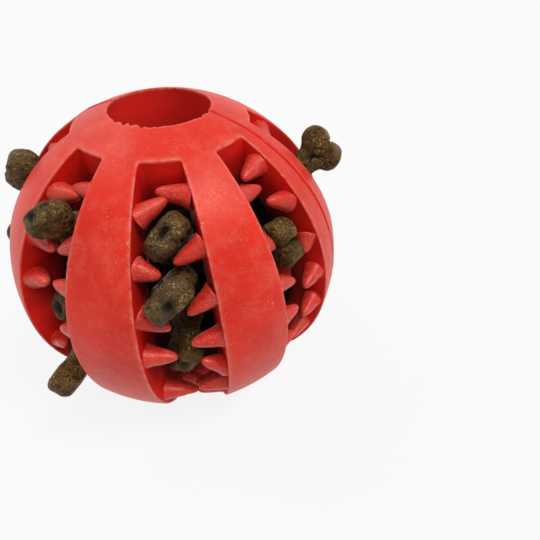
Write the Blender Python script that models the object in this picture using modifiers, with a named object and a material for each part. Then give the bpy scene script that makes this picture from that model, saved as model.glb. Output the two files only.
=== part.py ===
"""Dental chew ball: a hollow rubber ball with toothed slots, holding bone-shaped treats.

The ball is two moulded half shells that meet on a seam through two opposite ribs. Eight slots run
from cap to cap, and two rows of soft teeth stand on the walls of each slot. Treats dropped in by the
mouth at the top wedge between the teeth.

Frame: metres, +Z up, origin in the middle of the flat that the ball stands on. Longitude 0 is the
front (-Y) and grows towards +X. Latitudes are seen from the ball's centre.
"""

import math
from typing import NamedTuple

import bmesh
import bpy
from mathutils import Matrix, Vector

MM = 0.001

# Shell
BALL_DIAMETER = 70.0 * MM
WALL = 8.0 * MM
MOUTH_DIAMETER = 18.5 * MM
RIM_CHAMFER = 0.5 * MM
FOOT_DIAMETER = 14.0 * MM
SEAM_GAP = 0.3 * MM

# Slots
SLOTS_PER_HALF = 4
SLOT_ANGLE = 23.8
CAP_DIAMETER = 32.4 * MM
SEAM_RIB = 1

# Teeth
TEETH_PER_ROW = 8
TOOTH_DIAMETER = 4.2 * MM
TOOTH_DEPTH = 2.8 * MM
TOOTH_ROOT = 1.0 * MM
TOOTH_BLUNTNESS = 0.45
TOOTH_SPAN = 0.407
TOOTH_REACH = 0.7
RIGHT_ROW_DROPS = (8.8, 11.8)
LEFT_ROW_DROPS = (13.9, 6.7)
TOOTH_LEAN_MOST = 40.0
TOOTH_LEAN_STEP = 5.0
TOOTH_SHORTEST = 0.3
TOOTH_LENGTH_STEP = 0.05
TOOTH_SAMPLES = 8

# Treats
TREAT_LENGTH = 15.5 * MM
TREAT_WIDTH = 10.4 * MM
TREAT_THICKNESS = 5.6 * MM
TREAT_WAIST = 6.0 * MM
TREAT_LOBE_RADIUS = 2.9 * MM
TREAT_EDGE = 1.1 * MM
TREAT_PLAY = 0.5 * MM
TREAT_GAP = 0.35 * MM
TREAT_SETTLE_STEP = 0.25 * MM
TREAT_SEAT_STEP = 0.1 * MM
TREAT_SEAT_REACH = 1.2 * MM

# Facets
BALL_STEPS = 64
ARC_STEP = 9.0
TOOTH_SIDES = 7
TOOTH_RINGS = (0.45, 0.85)
LOBE_POINTS = 7
SLOT_FACETS = 4
SHARP_ANGLE = 30.0
FLAT_ANGLE = 1.0
RIM_ANGLE = 80.0
WELD = 0.001 * MM

BALL_RADIUS = BALL_DIAMETER / 2
CHAMBER_RADIUS = BALL_RADIUS - WALL
MOUTH_RADIUS = MOUTH_DIAMETER / 2
FOOT_RADIUS = FOOT_DIAMETER / 2
CAP_RADIUS = CAP_DIAMETER / 2
SLOT_COUNT = 2 * SLOTS_PER_HALF
SLOT_PITCH = 360.0 / SLOT_COUNT
SEAM_LONGITUDE = (SEAM_RIB + 0.5) * SLOT_PITCH
CENTRE = Vector((0.0, 0.0, math.sqrt(BALL_RADIUS**2 - FOOT_RADIUS**2)))
HALF_SLOT_SINE = math.sin(math.radians(SLOT_ANGLE / 2))
TOOTH_LENGTH = TOOTH_SPAN * 2 * (BALL_RADIUS - TOOTH_DEPTH) * HALF_SLOT_SINE

RUBBER_RED = (0.72, 0.045, 0.035, 1.0)
RUBBER_ROUGHNESS = 0.55
BISCUIT_BROWN = (0.085, 0.055, 0.028, 1.0)
BISCUIT_ROUGHNESS = 0.8


class Treat(NamedTuple):
    """A treat wedged in a slot, counted from the front one towards +X.

    Its outer end is on the line from the ball's centre that is offset from the slot's middle and has
    this latitude, and stands out of the ball's surface by stands_out. Its length is turned from the
    slot's middle by yaw and points up by dip, and its width turns from level by roll. Size is its share
    of the common treat's size.
    """

    name: str
    slot: int
    offset: float
    latitude: float
    stands_out: float
    yaw: float
    dip: float
    roll: float
    size: float


class LooseTreat(NamedTuple):
    """A treat that lies free in the chamber, with the place of its middle from the ball's centre."""

    name: str
    place: Vector
    heading: float
    dip: float


LODGED_TREATS = (
    Treat("treat_left_high", -2, 0.0, 39.2, 3.5 * MM, -1.0, 26.0, 80.0, 0.85),
    Treat("treat_left_low", -2, 2.6, 15.2, 0.8 * MM, 0.0, 14.0, 90.0, 0.95),
    Treat("treat_front_left_high", -1, 0.3, 42.2, 3.4 * MM, 3.0, 45.0, 49.0, 0.8),
    Treat("treat_front_left_middle", -1, -2.5, 10.8, -3.3 * MM, -2.4, 14.4, 60.0, 0.95),
    Treat("treat_front_left_low", -1, -2.0, -19.0, 5.0 * MM, -11.0, -37.0, 44.0, 1.0),
    Treat("treat_front_high", 0, -0.3, 43.0, 0.2 * MM, 1.0, 45.0, 45.0, 0.85),
    Treat("treat_front_middle", 0, -1.8, 25.7, 2.0 * MM, -4.4, 24.8, 40.0, 0.86),
    Treat("treat_front_low", 0, -1.0, -9.5, -4.5 * MM, 0.0, -9.0, 58.0, 1.0),
    Treat("treat_front_right", 1, 0.5, 28.0, -1.0 * MM, -2.0, 28.0, 90.0, 0.92),
    Treat("treat_right", 2, 0.0, 36.8, 7.0 * MM, 0.0, 40.0, 60.0, 0.97),
)


def heading_vector(longitude: float, latitude: float) -> Vector:
    """Unit vector from the ball's centre towards a longitude and latitude in degrees."""
    turn, rise = math.radians(longitude), math.radians(latitude)
    return Vector(
        (math.cos(rise) * math.sin(turn), -math.cos(rise) * math.cos(turn), math.sin(rise))
    )


def east_vector(longitude: float) -> Vector:
    """Level unit vector along growing longitude."""
    turn = math.radians(longitude)
    return Vector((math.cos(turn), math.sin(turn), 0.0))


def clear_scene() -> None:
    """Empty the scene of objects and of their meshes."""
    for item in list(bpy.data.objects):
        bpy.data.objects.remove(item, do_unlink=True)
    for mesh in list(bpy.data.meshes):
        bpy.data.meshes.remove(mesh)


def new_collection(name: str) -> bpy.types.Collection:
    """A new collection in the scene."""
    collection = bpy.data.collections.new(name)
    bpy.context.scene.collection.children.link(collection)
    return collection


def principled(name: str, colour: tuple, roughness: float) -> bpy.types.Material:
    """A plain non-metallic material."""
    material = bpy.data.materials.new(name)
    material.use_nodes = True
    shader = material.node_tree.nodes["Principled BSDF"]
    shader.inputs["Base Color"].default_value = colour
    shader.inputs["Roughness"].default_value = roughness
    shader.inputs["Metallic"].default_value = 0.0
    material.diffuse_color = colour
    return material


def add_object(name: str, mesh: bpy.types.Mesh, collection: bpy.types.Collection) -> bpy.types.Object:
    """An object for a mesh, linked to a collection."""
    item = bpy.data.objects.new(name, mesh)
    collection.objects.link(item)
    return item


def as_cutter(item: bpy.types.Object) -> bpy.types.Object:
    """Mark an object as a helper that isn't a piece."""
    item.hide_render = True
    item.display_type = "WIRE"
    return item


def mesh_from(make) -> bpy.types.Mesh:
    """A mesh filled by a function that takes a BMesh."""
    working = bmesh.new()
    make(working)
    bmesh.ops.recalc_face_normals(working, faces=working.faces)
    mesh = bpy.data.meshes.new("mesh")
    working.to_mesh(mesh)
    working.free()
    return mesh


def evaluated_mesh(item: bpy.types.Object) -> bpy.types.Mesh:
    """The mesh of an object with its modifiers, its doubles welded, and the object removed."""
    graph = bpy.context.evaluated_depsgraph_get()
    mesh = bpy.data.meshes.new_from_object(item.evaluated_get(graph))
    bpy.data.objects.remove(item, do_unlink=True)
    working = bmesh.new()
    working.from_mesh(mesh)
    bmesh.ops.remove_doubles(working, verts=working.verts, dist=WELD)
    bmesh.ops.recalc_face_normals(working, faces=working.faces)
    working.to_mesh(mesh)
    working.free()
    return mesh


def turned_mesh(profile: list, steps: int, collection: bpy.types.Collection) -> bpy.types.Mesh:
    """A closed body turned about Z from (radius, height) points that start and end on the axis."""
    mesh = bpy.data.meshes.new("profile")
    points = [(radius, 0.0, height) for radius, height in profile]
    mesh.from_pydata(points, [(i, i + 1) for i in range(len(points) - 1)], [])
    item = add_object("profile", mesh, collection)
    screw = item.modifiers.new("turn", "SCREW")
    screw.steps = steps
    screw.render_steps = steps
    screw.use_merge_vertices = True
    screw.merge_threshold = WELD
    return evaluated_mesh(item)


def arc(radius: float, start: float, end: float) -> list:
    """(radius, height) points of an arc about the ball's centre between two latitudes in degrees."""
    count = max(2, math.ceil(abs(end - start) / ARC_STEP))
    latitudes = [math.radians(start + (end - start) * i / count) for i in range(count + 1)]
    return [(radius * math.cos(a), CENTRE.z + radius * math.sin(a)) for a in latitudes]


def latitude_at(radius: float, reach: float) -> float:
    """Latitude in degrees at which a sphere stands at a distance from the Z axis."""
    return math.degrees(math.acos(reach / radius))


def shell_profile() -> list:
    """Section of the whole shell: up the chamber and the mouth, then down the outside to the foot."""
    rim = latitude_at(BALL_RADIUS, MOUTH_RADIUS + RIM_CHAMFER)
    chamber = arc(CHAMBER_RADIUS, -90.0, latitude_at(CHAMBER_RADIUS, MOUTH_RADIUS))
    outside = arc(BALL_RADIUS, rim, -latitude_at(BALL_RADIUS, FOOT_RADIUS))
    mouth_edge = (MOUTH_RADIUS, outside[0][1] - RIM_CHAMFER)
    chamber[0] = (0.0, chamber[0][1])
    return [*chamber, mouth_edge, *outside, (0.0, 0.0)]


def slot_prism(working: bmesh.types.BMesh, longitude: float) -> None:
    """Add one slot's cutter: the space between two walls through the axis, outside the cap."""
    turns = [longitude + SLOT_ANGLE * (i / SLOT_FACETS - 0.5) for i in range(SLOT_FACETS + 1)]
    outline = [heading_vector(turn, 0.0) * CAP_RADIUS for turn in turns]
    outline += [heading_vector(turn, 0.0) * BALL_DIAMETER for turn in reversed(turns)]
    bottom = CENTRE.z - BALL_DIAMETER
    ring = [working.verts.new((p.x, p.y, bottom)) for p in outline]
    face = working.faces.new(ring)
    raised = bmesh.ops.extrude_face_region(working, geom=[face])["geom"]
    lifted = [item for item in raised if isinstance(item, bmesh.types.BMVert)]
    bmesh.ops.translate(working, verts=lifted, vec=(0.0, 0.0, 2 * BALL_DIAMETER))


def slot_longitudes() -> list:
    """Longitudes of the middles of the slots."""
    return [SLOT_PITCH * i for i in range(SLOT_COUNT)]


def slot_room(point: Vector) -> float:
    """Room between a point and the rubber round the nearest slot, or in the chamber or outside the ball."""
    spot = point - CENTRE
    reach = math.hypot(spot.x, spot.y)
    longitude = math.degrees(math.atan2(spot.x, -spot.y))
    aside = abs((longitude + SLOT_PITCH / 2) % SLOT_PITCH - SLOT_PITCH / 2)
    wall = reach * math.sin(math.radians(SLOT_ANGLE / 2 - aside))
    slot = min(wall, reach - CAP_RADIUS)
    return max(slot, CHAMBER_RADIUS - spot.length, spot.length - BALL_RADIUS)


def treat_turn(heading: float, dip: float, roll: float) -> Matrix:
    """Turn of a treat: local X along its length, Y across its width, Z through its thickness."""
    along = heading_vector(heading, dip)
    level = east_vector(heading)
    upward = along.cross(level)
    turn = math.radians(roll)
    across = level * math.cos(turn) + upward * math.sin(turn)
    return Matrix((along, across, along.cross(across))).transposed().to_4x4()


def lodged_matrix(treat: Treat, pushed_out: float, aside: float) -> Matrix:
    """Placing of a lodged treat, pushed out along its length and moved aside across the slot."""
    middle = treat.slot * SLOT_PITCH
    heading = middle + treat.yaw
    end = heading_vector(middle + treat.offset, treat.latitude) * (BALL_RADIUS + treat.stands_out)
    inward = heading_vector(heading, treat.dip) * (TREAT_LENGTH * treat.size / 2 - pushed_out)
    place = CENTRE + end - inward + east_vector(middle) * aside
    return Matrix.Translation(place) @ treat_turn(heading, treat.dip, treat.roll)


def is_clear(treat: Treat, matrix: Matrix, settled: list) -> bool:
    """Does a lodged treat clear the slot's walls and the treats settled before it, within its play?"""
    for shift in (-TREAT_PLAY, TREAT_PLAY):
        for point in treat_points(treat.size):
            spot = matrix @ (point + Vector((shift, 0.0, 0.0)))
            if slot_room(spot) < TREAT_GAP:
                return False
            if any(treat_room(spot, other, place.inverted()) < TREAT_GAP for other, place in settled):
                return False
    return True


def seat_shift(treat: Treat, pushed_out: float, settled: list) -> float:
    """Move aside that rests a treat on the nearer wall, or none where only tooth tips hold it."""
    for i in range(1, round(TREAT_SEAT_REACH / TREAT_SEAT_STEP) + 1):
        for side in (-TREAT_SEAT_STEP, TREAT_SEAT_STEP):
            if not is_clear(treat, lodged_matrix(treat, pushed_out, side * i), settled):
                return side * (i - 1)
    return 0.0


def settled_treats() -> list:
    """Every lodged treat with its placing: as deep as stated, or further out where it would jam."""
    settled = []
    for treat in LODGED_TREATS:
        pushed_out = 0.0
        while not is_clear(treat, lodged_matrix(treat, pushed_out, 0.0), settled):
            pushed_out += TREAT_SETTLE_STEP
        aside = seat_shift(treat, pushed_out, settled)
        settled.append((treat, lodged_matrix(treat, pushed_out, aside)))
    return settled


def loose_treats() -> list:
    """The treats in the chamber: a stack on its floor, and one stood against its rear wall."""
    along, across = lobe_centre()
    face_reach = math.hypot(along, across) + TREAT_LOBE_RADIUS - TREAT_EDGE + TREAT_PLAY
    seat = math.sqrt(CHAMBER_RADIUS**2 - face_reach**2) - TREAT_THICKNESS / 2 - TREAT_GAP
    layer = TREAT_THICKNESS + TREAT_GAP
    beside = (TREAT_WIDTH + TREAT_GAP) / 2
    stood = heading_vector(112.5, 0.0) * seat
    return [
        LooseTreat("treat_inside_bottom", Vector((0.0, 0.0, -seat)), 90.0, 0.0),
        LooseTreat("treat_inside_lower", Vector((0.0, 1.5 * MM, layer - seat)), 0.0, 0.0),
        LooseTreat("treat_inside_left", Vector((-beside, 4.0 * MM, 2 * layer - seat)), 0.0, 0.0),
        LooseTreat("treat_inside_right", Vector((beside, 0.0, 2 * layer - seat)), 0.0, 0.0),
        LooseTreat("treat_inside_upper", Vector((0.0, 2.5 * MM, 3 * layer - seat)), 75.0, 0.0),
        LooseTreat("treat_inside_top", Vector((1.4 * MM, 6.0 * MM, 4 * layer - seat)), 10.0, 0.0),
        LooseTreat("treat_inside_rear", stood, 112.5, 90.0),
    ]


def loose_matrix(treat: LooseTreat) -> Matrix:
    """Placing of a treat in the chamber."""
    return Matrix.Translation(CENTRE + treat.place) @ treat_turn(treat.heading, treat.dip, 0.0)


def lobe_centre() -> tuple:
    """Distance of a treat's four lobes from its middle, along and across."""
    return TREAT_LENGTH / 2 - TREAT_LOBE_RADIUS, TREAT_WIDTH / 2 - TREAT_LOBE_RADIUS


def treat_outline(inset: float) -> list:
    """Bone outline with its lobes drawn in by an inset: four round lobes, a waist and notched ends."""
    along, across = lobe_centre()
    notch = math.asin(min(1.0, across / TREAT_LOBE_RADIUS))
    rise = (TREAT_WAIST / 2 - across) / TREAT_LOBE_RADIUS
    shoulder = math.pi - math.asin(max(-1.0, min(1.0, rise)))
    radius = TREAT_LOBE_RADIUS - inset
    quarter = []
    for i in range(LOBE_POINTS):
        angle = -notch + (shoulder + notch) * i / (LOBE_POINTS - 1)
        quarter.append((along + radius * math.cos(angle), across + radius * math.sin(angle)))
    upper = quarter + [(-x, y) for x, y in reversed(quarter)]
    return upper + [(-x, -y) for x, y in upper]


def treat_mesh(size: float, collection: bpy.types.Collection) -> bpy.types.Mesh:
    """A bone-shaped treat of a given size, flat faces along Z, with its edges bevelled."""
    curve = bpy.data.curves.new("bone", "CURVE")
    curve.dimensions = "2D"
    curve.fill_mode = "BOTH"
    curve.extrude = TREAT_THICKNESS / 2
    outline = treat_outline(0.0)
    spline = curve.splines.new("POLY")
    spline.points.add(len(outline) - 1)
    for point, (x, y) in zip(spline.points, outline):
        point.co = (x, y, 0.0, 1.0)
    spline.use_cyclic_u = True
    item = bpy.data.objects.new("bone", curve)
    collection.objects.link(item)
    mesh = evaluated_mesh(item)
    working = bmesh.new()
    working.from_mesh(mesh)
    flat = math.radians(FLAT_ANGLE)
    bmesh.ops.dissolve_limit(working, angle_limit=flat, verts=working.verts, edges=working.edges)
    rims = [edge for edge in working.edges if edge.calc_face_angle() > math.radians(RIM_ANGLE)]
    bmesh.ops.bevel(working, geom=rims, offset=TREAT_EDGE, segments=1, affect="EDGES")
    bmesh.ops.scale(working, vec=(size, size, size), verts=working.verts)
    working.to_mesh(mesh)
    working.free()
    return mesh


def treat_points(size: float) -> list:
    """Points on a treat's edges, in its own axes."""
    points = []
    for inset, height in ((0.0, TREAT_THICKNESS / 2 - TREAT_EDGE), (TREAT_EDGE, TREAT_THICKNESS / 2)):
        for x, y in treat_outline(inset):
            points += [Vector((x, y, height)) * size, Vector((x, y, -height)) * size]
    return points


def treat_room(point: Vector, treat: Treat, inverse: Matrix) -> float:
    """Distance from a point to a lodged treat, at its nearest within the treat's play."""
    local = inverse @ point / treat.size
    along, across = lobe_centre()
    thick = abs(local.z) - TREAT_THICKNESS / 2
    nearest = math.inf
    for shift in (-TREAT_PLAY, 0.0, TREAT_PLAY):
        u, v = abs(local.x - shift / treat.size), abs(local.y)
        lobe = math.hypot(u - along, v - across) - TREAT_LOBE_RADIUS
        waist = max(u - along, v - TREAT_WAIST / 2)
        flat = min(lobe, waist)
        outside = math.hypot(max(flat, 0.0), max(thick, 0.0))
        nearest = min(nearest, outside if outside > 0.0 else max(flat, thick))
    return nearest * treat.size


def tooth_radius(share: float) -> float:
    """Radius of a tooth at a share of its length from the wall."""
    return TOOTH_DIAMETER / 2 * (1.0 - share) ** TOOTH_BLUNTNESS


def tooth_fits(base: Vector, axis: Vector, length: float, near: list) -> bool:
    """Does a tooth of this length clear the treats near it?"""
    for i in range(1, TOOTH_SAMPLES + 1):
        share = i / TOOTH_SAMPLES
        point = base + axis * (length * share)
        need = tooth_radius(share) + TREAT_GAP
        if any(treat_room(point, treat, inverse) < need for treat, inverse in near):
            return False
    return True


def tooth_pose(base: Vector, inward: Vector, along_row: Vector, near: list):
    """Axis and length of a soft tooth: it leans away from a treat, and squashes where it must.

    Near the slot's narrow ends it takes no more than its reach of the slot's width. Returns None where
    a treat leaves a tooth no room at all.
    """
    slot_width = 2 * math.hypot(base.x, base.y) * HALF_SLOT_SINE
    longest = min(TOOTH_LENGTH, TOOTH_REACH * slot_width)
    lean_count = round(TOOTH_LEAN_MOST / TOOTH_LEAN_STEP)
    leans = sorted((i * TOOTH_LEAN_STEP for i in range(-lean_count, lean_count + 1)), key=abs)
    length_count = round((1.0 - TOOTH_SHORTEST) / TOOTH_LENGTH_STEP)
    for i in range(length_count + 1):
        length = longest * (1.0 - i * TOOTH_LENGTH_STEP)
        for lean in leans:
            turn = math.radians(lean)
            axis = inward * math.cos(turn) + along_row * math.sin(turn)
            if tooth_fits(base, axis, length, near):
                return axis, length
    return None


def tooth_mesh(collection: bpy.types.Collection) -> bpy.types.Mesh:
    """One tooth of unit length along +Z, rooted below its base at Z = 0."""
    root = -TOOTH_ROOT / TOOTH_LENGTH
    profile = [(0.0, 1.0)]
    profile += [(tooth_radius(share), share) for share in reversed(TOOTH_RINGS)]
    profile += [(tooth_radius(0.0), root), (0.0, root)]
    return turned_mesh(profile, TOOTH_SIDES, collection)


def teeth_mesh(settled: list, collection: bpy.types.Collection) -> bpy.types.Mesh:
    """All the teeth as separate bodies in one mesh, each clear of the settled treats."""
    placed = [(treat, matrix.inverted()) for treat, matrix in settled]
    single = tooth_mesh(collection)
    teeth = bmesh.new()
    reach = TOOTH_LENGTH + TREAT_LENGTH
    slot_end = latitude_at(BALL_RADIUS, CAP_RADIUS)
    for middle in slot_longitudes():
        for side, (top, bottom) in ((1.0, RIGHT_ROW_DROPS), (-1.0, LEFT_ROW_DROPS)):
            wall = middle + side * SLOT_ANGLE / 2
            inward = east_vector(wall) * -side
            pitch = (2 * slot_end - top - bottom) / (TEETH_PER_ROW - 1)
            for i in range(TEETH_PER_ROW):
                latitude = slot_end - top - i * pitch
                outward = heading_vector(wall, latitude)
                base = CENTRE + outward * (BALL_RADIUS - TOOTH_DEPTH)
                near = [
                    (treat, inverse)
                    for treat, inverse in placed
                    if (inverse @ base).length < reach
                ]
                pose = tooth_pose(base, inward, outward.cross(inward) * side, near)
                if pose is None:
                    continue
                axis, length = pose
                turn = axis.to_track_quat("Z", "Y").to_matrix().to_4x4()
                place = Matrix.Translation(base) @ turn @ Matrix.Scale(length, 4, Vector((0, 0, 1)))
                copy = single.copy()
                copy.transform(place)
                teeth.from_mesh(copy)
                bpy.data.meshes.remove(copy)
    mesh = bpy.data.meshes.new("teeth")
    teeth.to_mesh(mesh)
    teeth.free()
    return mesh


def add_boolean(item: bpy.types.Object, operation: str, other: bpy.types.Object) -> None:
    """Cut, join or trim an object with another."""
    boolean = item.modifiers.new(operation.lower(), "BOOLEAN")
    boolean.operation = operation
    boolean.solver = "EXACT"
    boolean.object = other


def half_space(side: float) -> bpy.types.Mesh:
    """A block that holds one side of the seam, half the seam's gap away from it."""

    def make(working: bmesh.types.BMesh) -> None:
        bmesh.ops.create_cube(working, size=2 * BALL_DIAMETER)

    mesh = mesh_from(make)
    offset = east_vector(SEAM_LONGITUDE) * (side * (BALL_DIAMETER + SEAM_GAP / 2))
    turn = Matrix.Rotation(math.radians(SEAM_LONGITUDE), 4, "Z")
    mesh.transform(Matrix.Translation(CENTRE + offset) @ turn)
    return mesh


def build_shells(settled: list, parts: bpy.types.Collection, cutters: bpy.types.Collection) -> list:
    """The two toothed half shells."""

    def make_slots(working: bmesh.types.BMesh) -> None:
        for longitude in slot_longitudes():
            slot_prism(working, longitude)

    slots = as_cutter(add_object("slot_cutters", mesh_from(make_slots), cutters))
    teeth = as_cutter(add_object("teeth", teeth_mesh(settled, cutters), cutters))
    rubber = principled("red_rubber", RUBBER_RED, RUBBER_ROUGHNESS)
    shells = []
    for name, side in (("front_half_shell", -1.0), ("rear_half_shell", 1.0)):
        shell = add_object(name, turned_mesh(shell_profile(), BALL_STEPS, cutters), parts)
        block = as_cutter(add_object(name + "_side", half_space(side), cutters))
        add_boolean(shell, "DIFFERENCE", slots)
        add_boolean(shell, "UNION", teeth)
        add_boolean(shell, "INTERSECT", block)
        shell.data.materials.append(rubber)
        shells.append(shell)
    return shells


def build_treats(settled: list, parts: bpy.types.Collection, cutters: bpy.types.Collection) -> list:
    """The treats, each with its origin in its middle and its length along local X."""
    placed = [(treat.name, treat.size, matrix) for treat, matrix in settled]
    placed += [(treat.name, 1.0, loose_matrix(treat)) for treat in loose_treats()]
    items = []
    for name, size, matrix in placed:
        item = add_object(name, treat_mesh(size, cutters), parts)
        item.matrix_world = matrix
        item.data.materials.append(principled(name + "_biscuit", BISCUIT_BROWN, BISCUIT_ROUGHNESS))
        items.append(item)
    return items


def main() -> None:
    """Build the ball and its treats."""
    clear_scene()
    parts = new_collection("dental_chew_ball")
    cutters = new_collection("cutters")
    ball = bpy.data.objects.new("ball", None)
    parts.objects.link(ball)
    settled = settled_treats()
    for item in build_shells(settled, parts, cutters) + build_treats(settled, parts, cutters):
        placed = item.matrix_world.copy()
        item.parent = ball
        item.matrix_world = placed
        item.data.shade_smooth()
        item.data.set_sharp_from_angle(angle=math.radians(SHARP_ANGLE))


if __name__ == "__main__":
    main()
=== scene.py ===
"""Dressed scene of the dental chew ball.

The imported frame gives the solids. Over them this script builds what is seen: the two rubber halves
with their rounded slots, soft teeth and moulding flash, the baked treats, and a plain studio with a
camera at the photograph's angle. The classes hold lengths in millimetres and angles in degrees,
measured from the ball's centre. Longitude 0 is the front (-Y) and grows towards +X.
"""

import logging
import math
import random
from dataclasses import dataclass, field
from enum import Enum, IntEnum
from functools import cached_property

import bmesh
import bpy
import numpy as np
from mathutils import Matrix, Vector, noise
from mathutils.bvhtree import BVHTree
from mathutils.kdtree import KDTree

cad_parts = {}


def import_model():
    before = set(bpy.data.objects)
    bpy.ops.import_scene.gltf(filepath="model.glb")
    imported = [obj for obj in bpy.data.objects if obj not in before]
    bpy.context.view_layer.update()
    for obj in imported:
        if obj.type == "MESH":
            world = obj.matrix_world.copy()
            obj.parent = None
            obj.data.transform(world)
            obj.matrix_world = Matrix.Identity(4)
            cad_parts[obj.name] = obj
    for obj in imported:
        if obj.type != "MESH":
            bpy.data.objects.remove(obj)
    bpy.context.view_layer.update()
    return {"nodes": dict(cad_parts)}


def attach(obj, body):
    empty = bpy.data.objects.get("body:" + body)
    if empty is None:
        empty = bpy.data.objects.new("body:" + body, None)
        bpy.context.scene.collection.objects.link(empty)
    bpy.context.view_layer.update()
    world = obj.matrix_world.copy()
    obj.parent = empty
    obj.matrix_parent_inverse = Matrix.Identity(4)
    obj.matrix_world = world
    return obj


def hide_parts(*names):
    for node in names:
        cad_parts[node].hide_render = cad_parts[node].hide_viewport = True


MM = 0.001
TINY = 1e-6
SLOTS_PER_HALF = 4
SHIFT_WAY = (1.0, 1.7, -0.6)
LOG = logging.getLogger("chew_ball")

BONE_TREATS = ("treat_right", "treat_front_right", "treat_left_low")
TIGHT_TREATS = ("treat_front_left_high",)

Colour = tuple[float, float, float]
Faces = list[tuple[int, ...]]
Socket = bpy.types.NodeSocket


class Half(Enum):
    """The two moulded halves, each with its node, its first slot and its side of the seam."""

    FRONT = ("front_half_shell", -2, -1.0)
    REAR = ("rear_half_shell", 2, 1.0)

    @property
    def node(self) -> str:
        """Name of the half's solid in the frame."""
        return self.value[0]

    @property
    def slots(self) -> range:
        """Numbers of the half's slots, counted from the front one towards +X."""
        return range(self.value[1], self.value[1] + SLOTS_PER_HALF)

    @property
    def side(self) -> float:
        """Side of the seam's plane: -1 before it and 1 behind it."""
        return self.value[2]


class Wall(Enum):
    """The two walls of a slot, by the sign of the longitude from its middle."""

    RIGHT = 1.0
    LEFT = -1.0


class Slot(Enum):
    """Material slots of the record."""

    RUBBER = "red_rubber"
    BISCUIT = "biscuit"


class Station(IntEnum):
    """Columns of the stations round a slot."""

    WIDE = 0
    HIGH = 1
    TURN_WIDE = 2
    TURN_HIGH = 3
    BORDER_WIDE = 4
    BORDER_HIGH = 5


class Joining(Enum):
    """Ways to join two values of a finish, by the Math node's own words."""

    TIMES = "MULTIPLY"
    PLUS = "ADD"
    LESS = "SUBTRACT"


@dataclass(frozen=True)
class TreatForm:
    """What sets a shape of treat apart: its lobes' radius, its edges and its dents' depths."""

    lobe: float
    edge: float
    dents: tuple[float, float]


class TreatShape(Enum):
    """How far a treat's lobes have run together in baking."""

    BONE = TreatForm(lobe=3.15, edge=1.25, dents=(0.2, 0.4))
    BLOCK = TreatForm(lobe=3.9, edge=1.75, dents=(0.8, 1.0))


@dataclass(frozen=True)
class TreatFit:
    """How a dressed treat is fitted to its solid.

    Spread and press are its share of the solid's level size and thickness, voxel is the fineness of
    its mesh, and settle is how far its crust is drawn in.
    """

    spread: float = 1.0
    press: float = 1.0
    voxel: float = 0.25
    settle: float = 0.1


class Lodging(Enum):
    """Where a treat lies, with how it is fitted there."""

    WEDGED = TreatFit()
    TIGHT = TreatFit(spread=0.965, press=0.965)
    LOOSE = TreatFit(spread=1.03, press=0.95, voxel=0.34, settle=0.0)
    LOOSE_REAR = TreatFit(spread=1.03, press=1.1, voxel=0.34, settle=0.0)

    @classmethod
    def of(cls, node: str) -> "Lodging":
        """Tell a treat's lodging by its name.

        Args:
            node: Name of the treat's solid.

        Returns:
            The lodging.
        """
        if "inside" in node:
            return cls.LOOSE_REAR if node.endswith("rear") else cls.LOOSE
        return cls.TIGHT if node in TIGHT_TREATS else cls.WEDGED

    @property
    def loose(self) -> bool:
        """Whether the treat lies loose in the chamber."""
        return self in (Lodging.LOOSE, Lodging.LOOSE_REAR)


def heading(longitude: float, latitude: float) -> Vector:
    """Unit vector from the ball's centre.

    Args:
        longitude: Turn from the front towards +X.
        latitude: Rise above the level plane.

    Returns:
        The direction in the frame's axes.
    """
    turn, rise = math.radians(longitude), math.radians(latitude)
    level = math.cos(rise)
    return Vector((level * math.sin(turn), -level * math.cos(turn), math.sin(rise)))


def east(longitude: float) -> Vector:
    """Level unit vector along growing longitude."""
    turn = math.radians(longitude)
    return Vector((math.cos(turn), math.sin(turn), 0.0))


def on_sphere(longitude: np.ndarray, latitude: np.ndarray, radius: float) -> np.ndarray:
    """Points on a sphere about the ball's centre.

    Args:
        longitude: Longitudes of the points.
        latitude: Latitudes of the points.
        radius: Radius of the sphere.

    Returns:
        An array of X, Y and Z columns.
    """
    turn, rise = np.radians(longitude), np.radians(latitude)
    level = radius * np.cos(rise)
    return np.column_stack([level * np.sin(turn), -level * np.cos(turn), radius * np.sin(rise)])


def level_ring(longitude: np.ndarray) -> np.ndarray:
    """Level unit vectors away from the ball's axis."""
    turn = np.radians(longitude)
    return np.column_stack([np.sin(turn), -np.cos(turn), np.zeros_like(turn)])


def bezier(start: np.ndarray, corner: np.ndarray, end: np.ndarray, share: float) -> np.ndarray:
    """Points of a rounded corner at a share of its way from start to end."""
    return (1 - share) ** 2 * start + 2 * share * (1 - share) * corner + share**2 * end


def hill(distance: np.ndarray, width: float) -> np.ndarray:
    """A round hill of height 1 over a distance from its middle."""
    return np.exp(-((distance / width) ** 2))


def ring_faces(rows: int, width: int, closed: bool) -> Faces:
    """Quads between rows of points.

    Args:
        rows: Number of rows.
        width: Number of points in each row.
        closed: Whether each row is a ring.

    Returns:
        The faces by point numbers.
    """
    last = width if closed else width - 1
    faces: Faces = []
    for i in range(rows - 1):
        near, far = i * width, (i + 1) * width
        for k in range(last):
            after = (k + 1) % width
            faces.append((near + k, near + after, far + after, far + k))
    return faces


def points_of(mesh: bpy.types.Mesh) -> np.ndarray:
    """Read the points of a mesh.

    Args:
        mesh: The mesh.

    Returns:
        An array of X, Y and Z columns.
    """
    points = np.empty(len(mesh.vertices) * 3, dtype=np.float32)
    mesh.vertices.foreach_get("co", points)
    return points.reshape(-1, 3).astype(float)


def move_points(mesh: bpy.types.Mesh, points: np.ndarray) -> None:
    """Put the points of a mesh in new places."""
    mesh.vertices.foreach_set("co", points.ravel().astype(np.float32))


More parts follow.
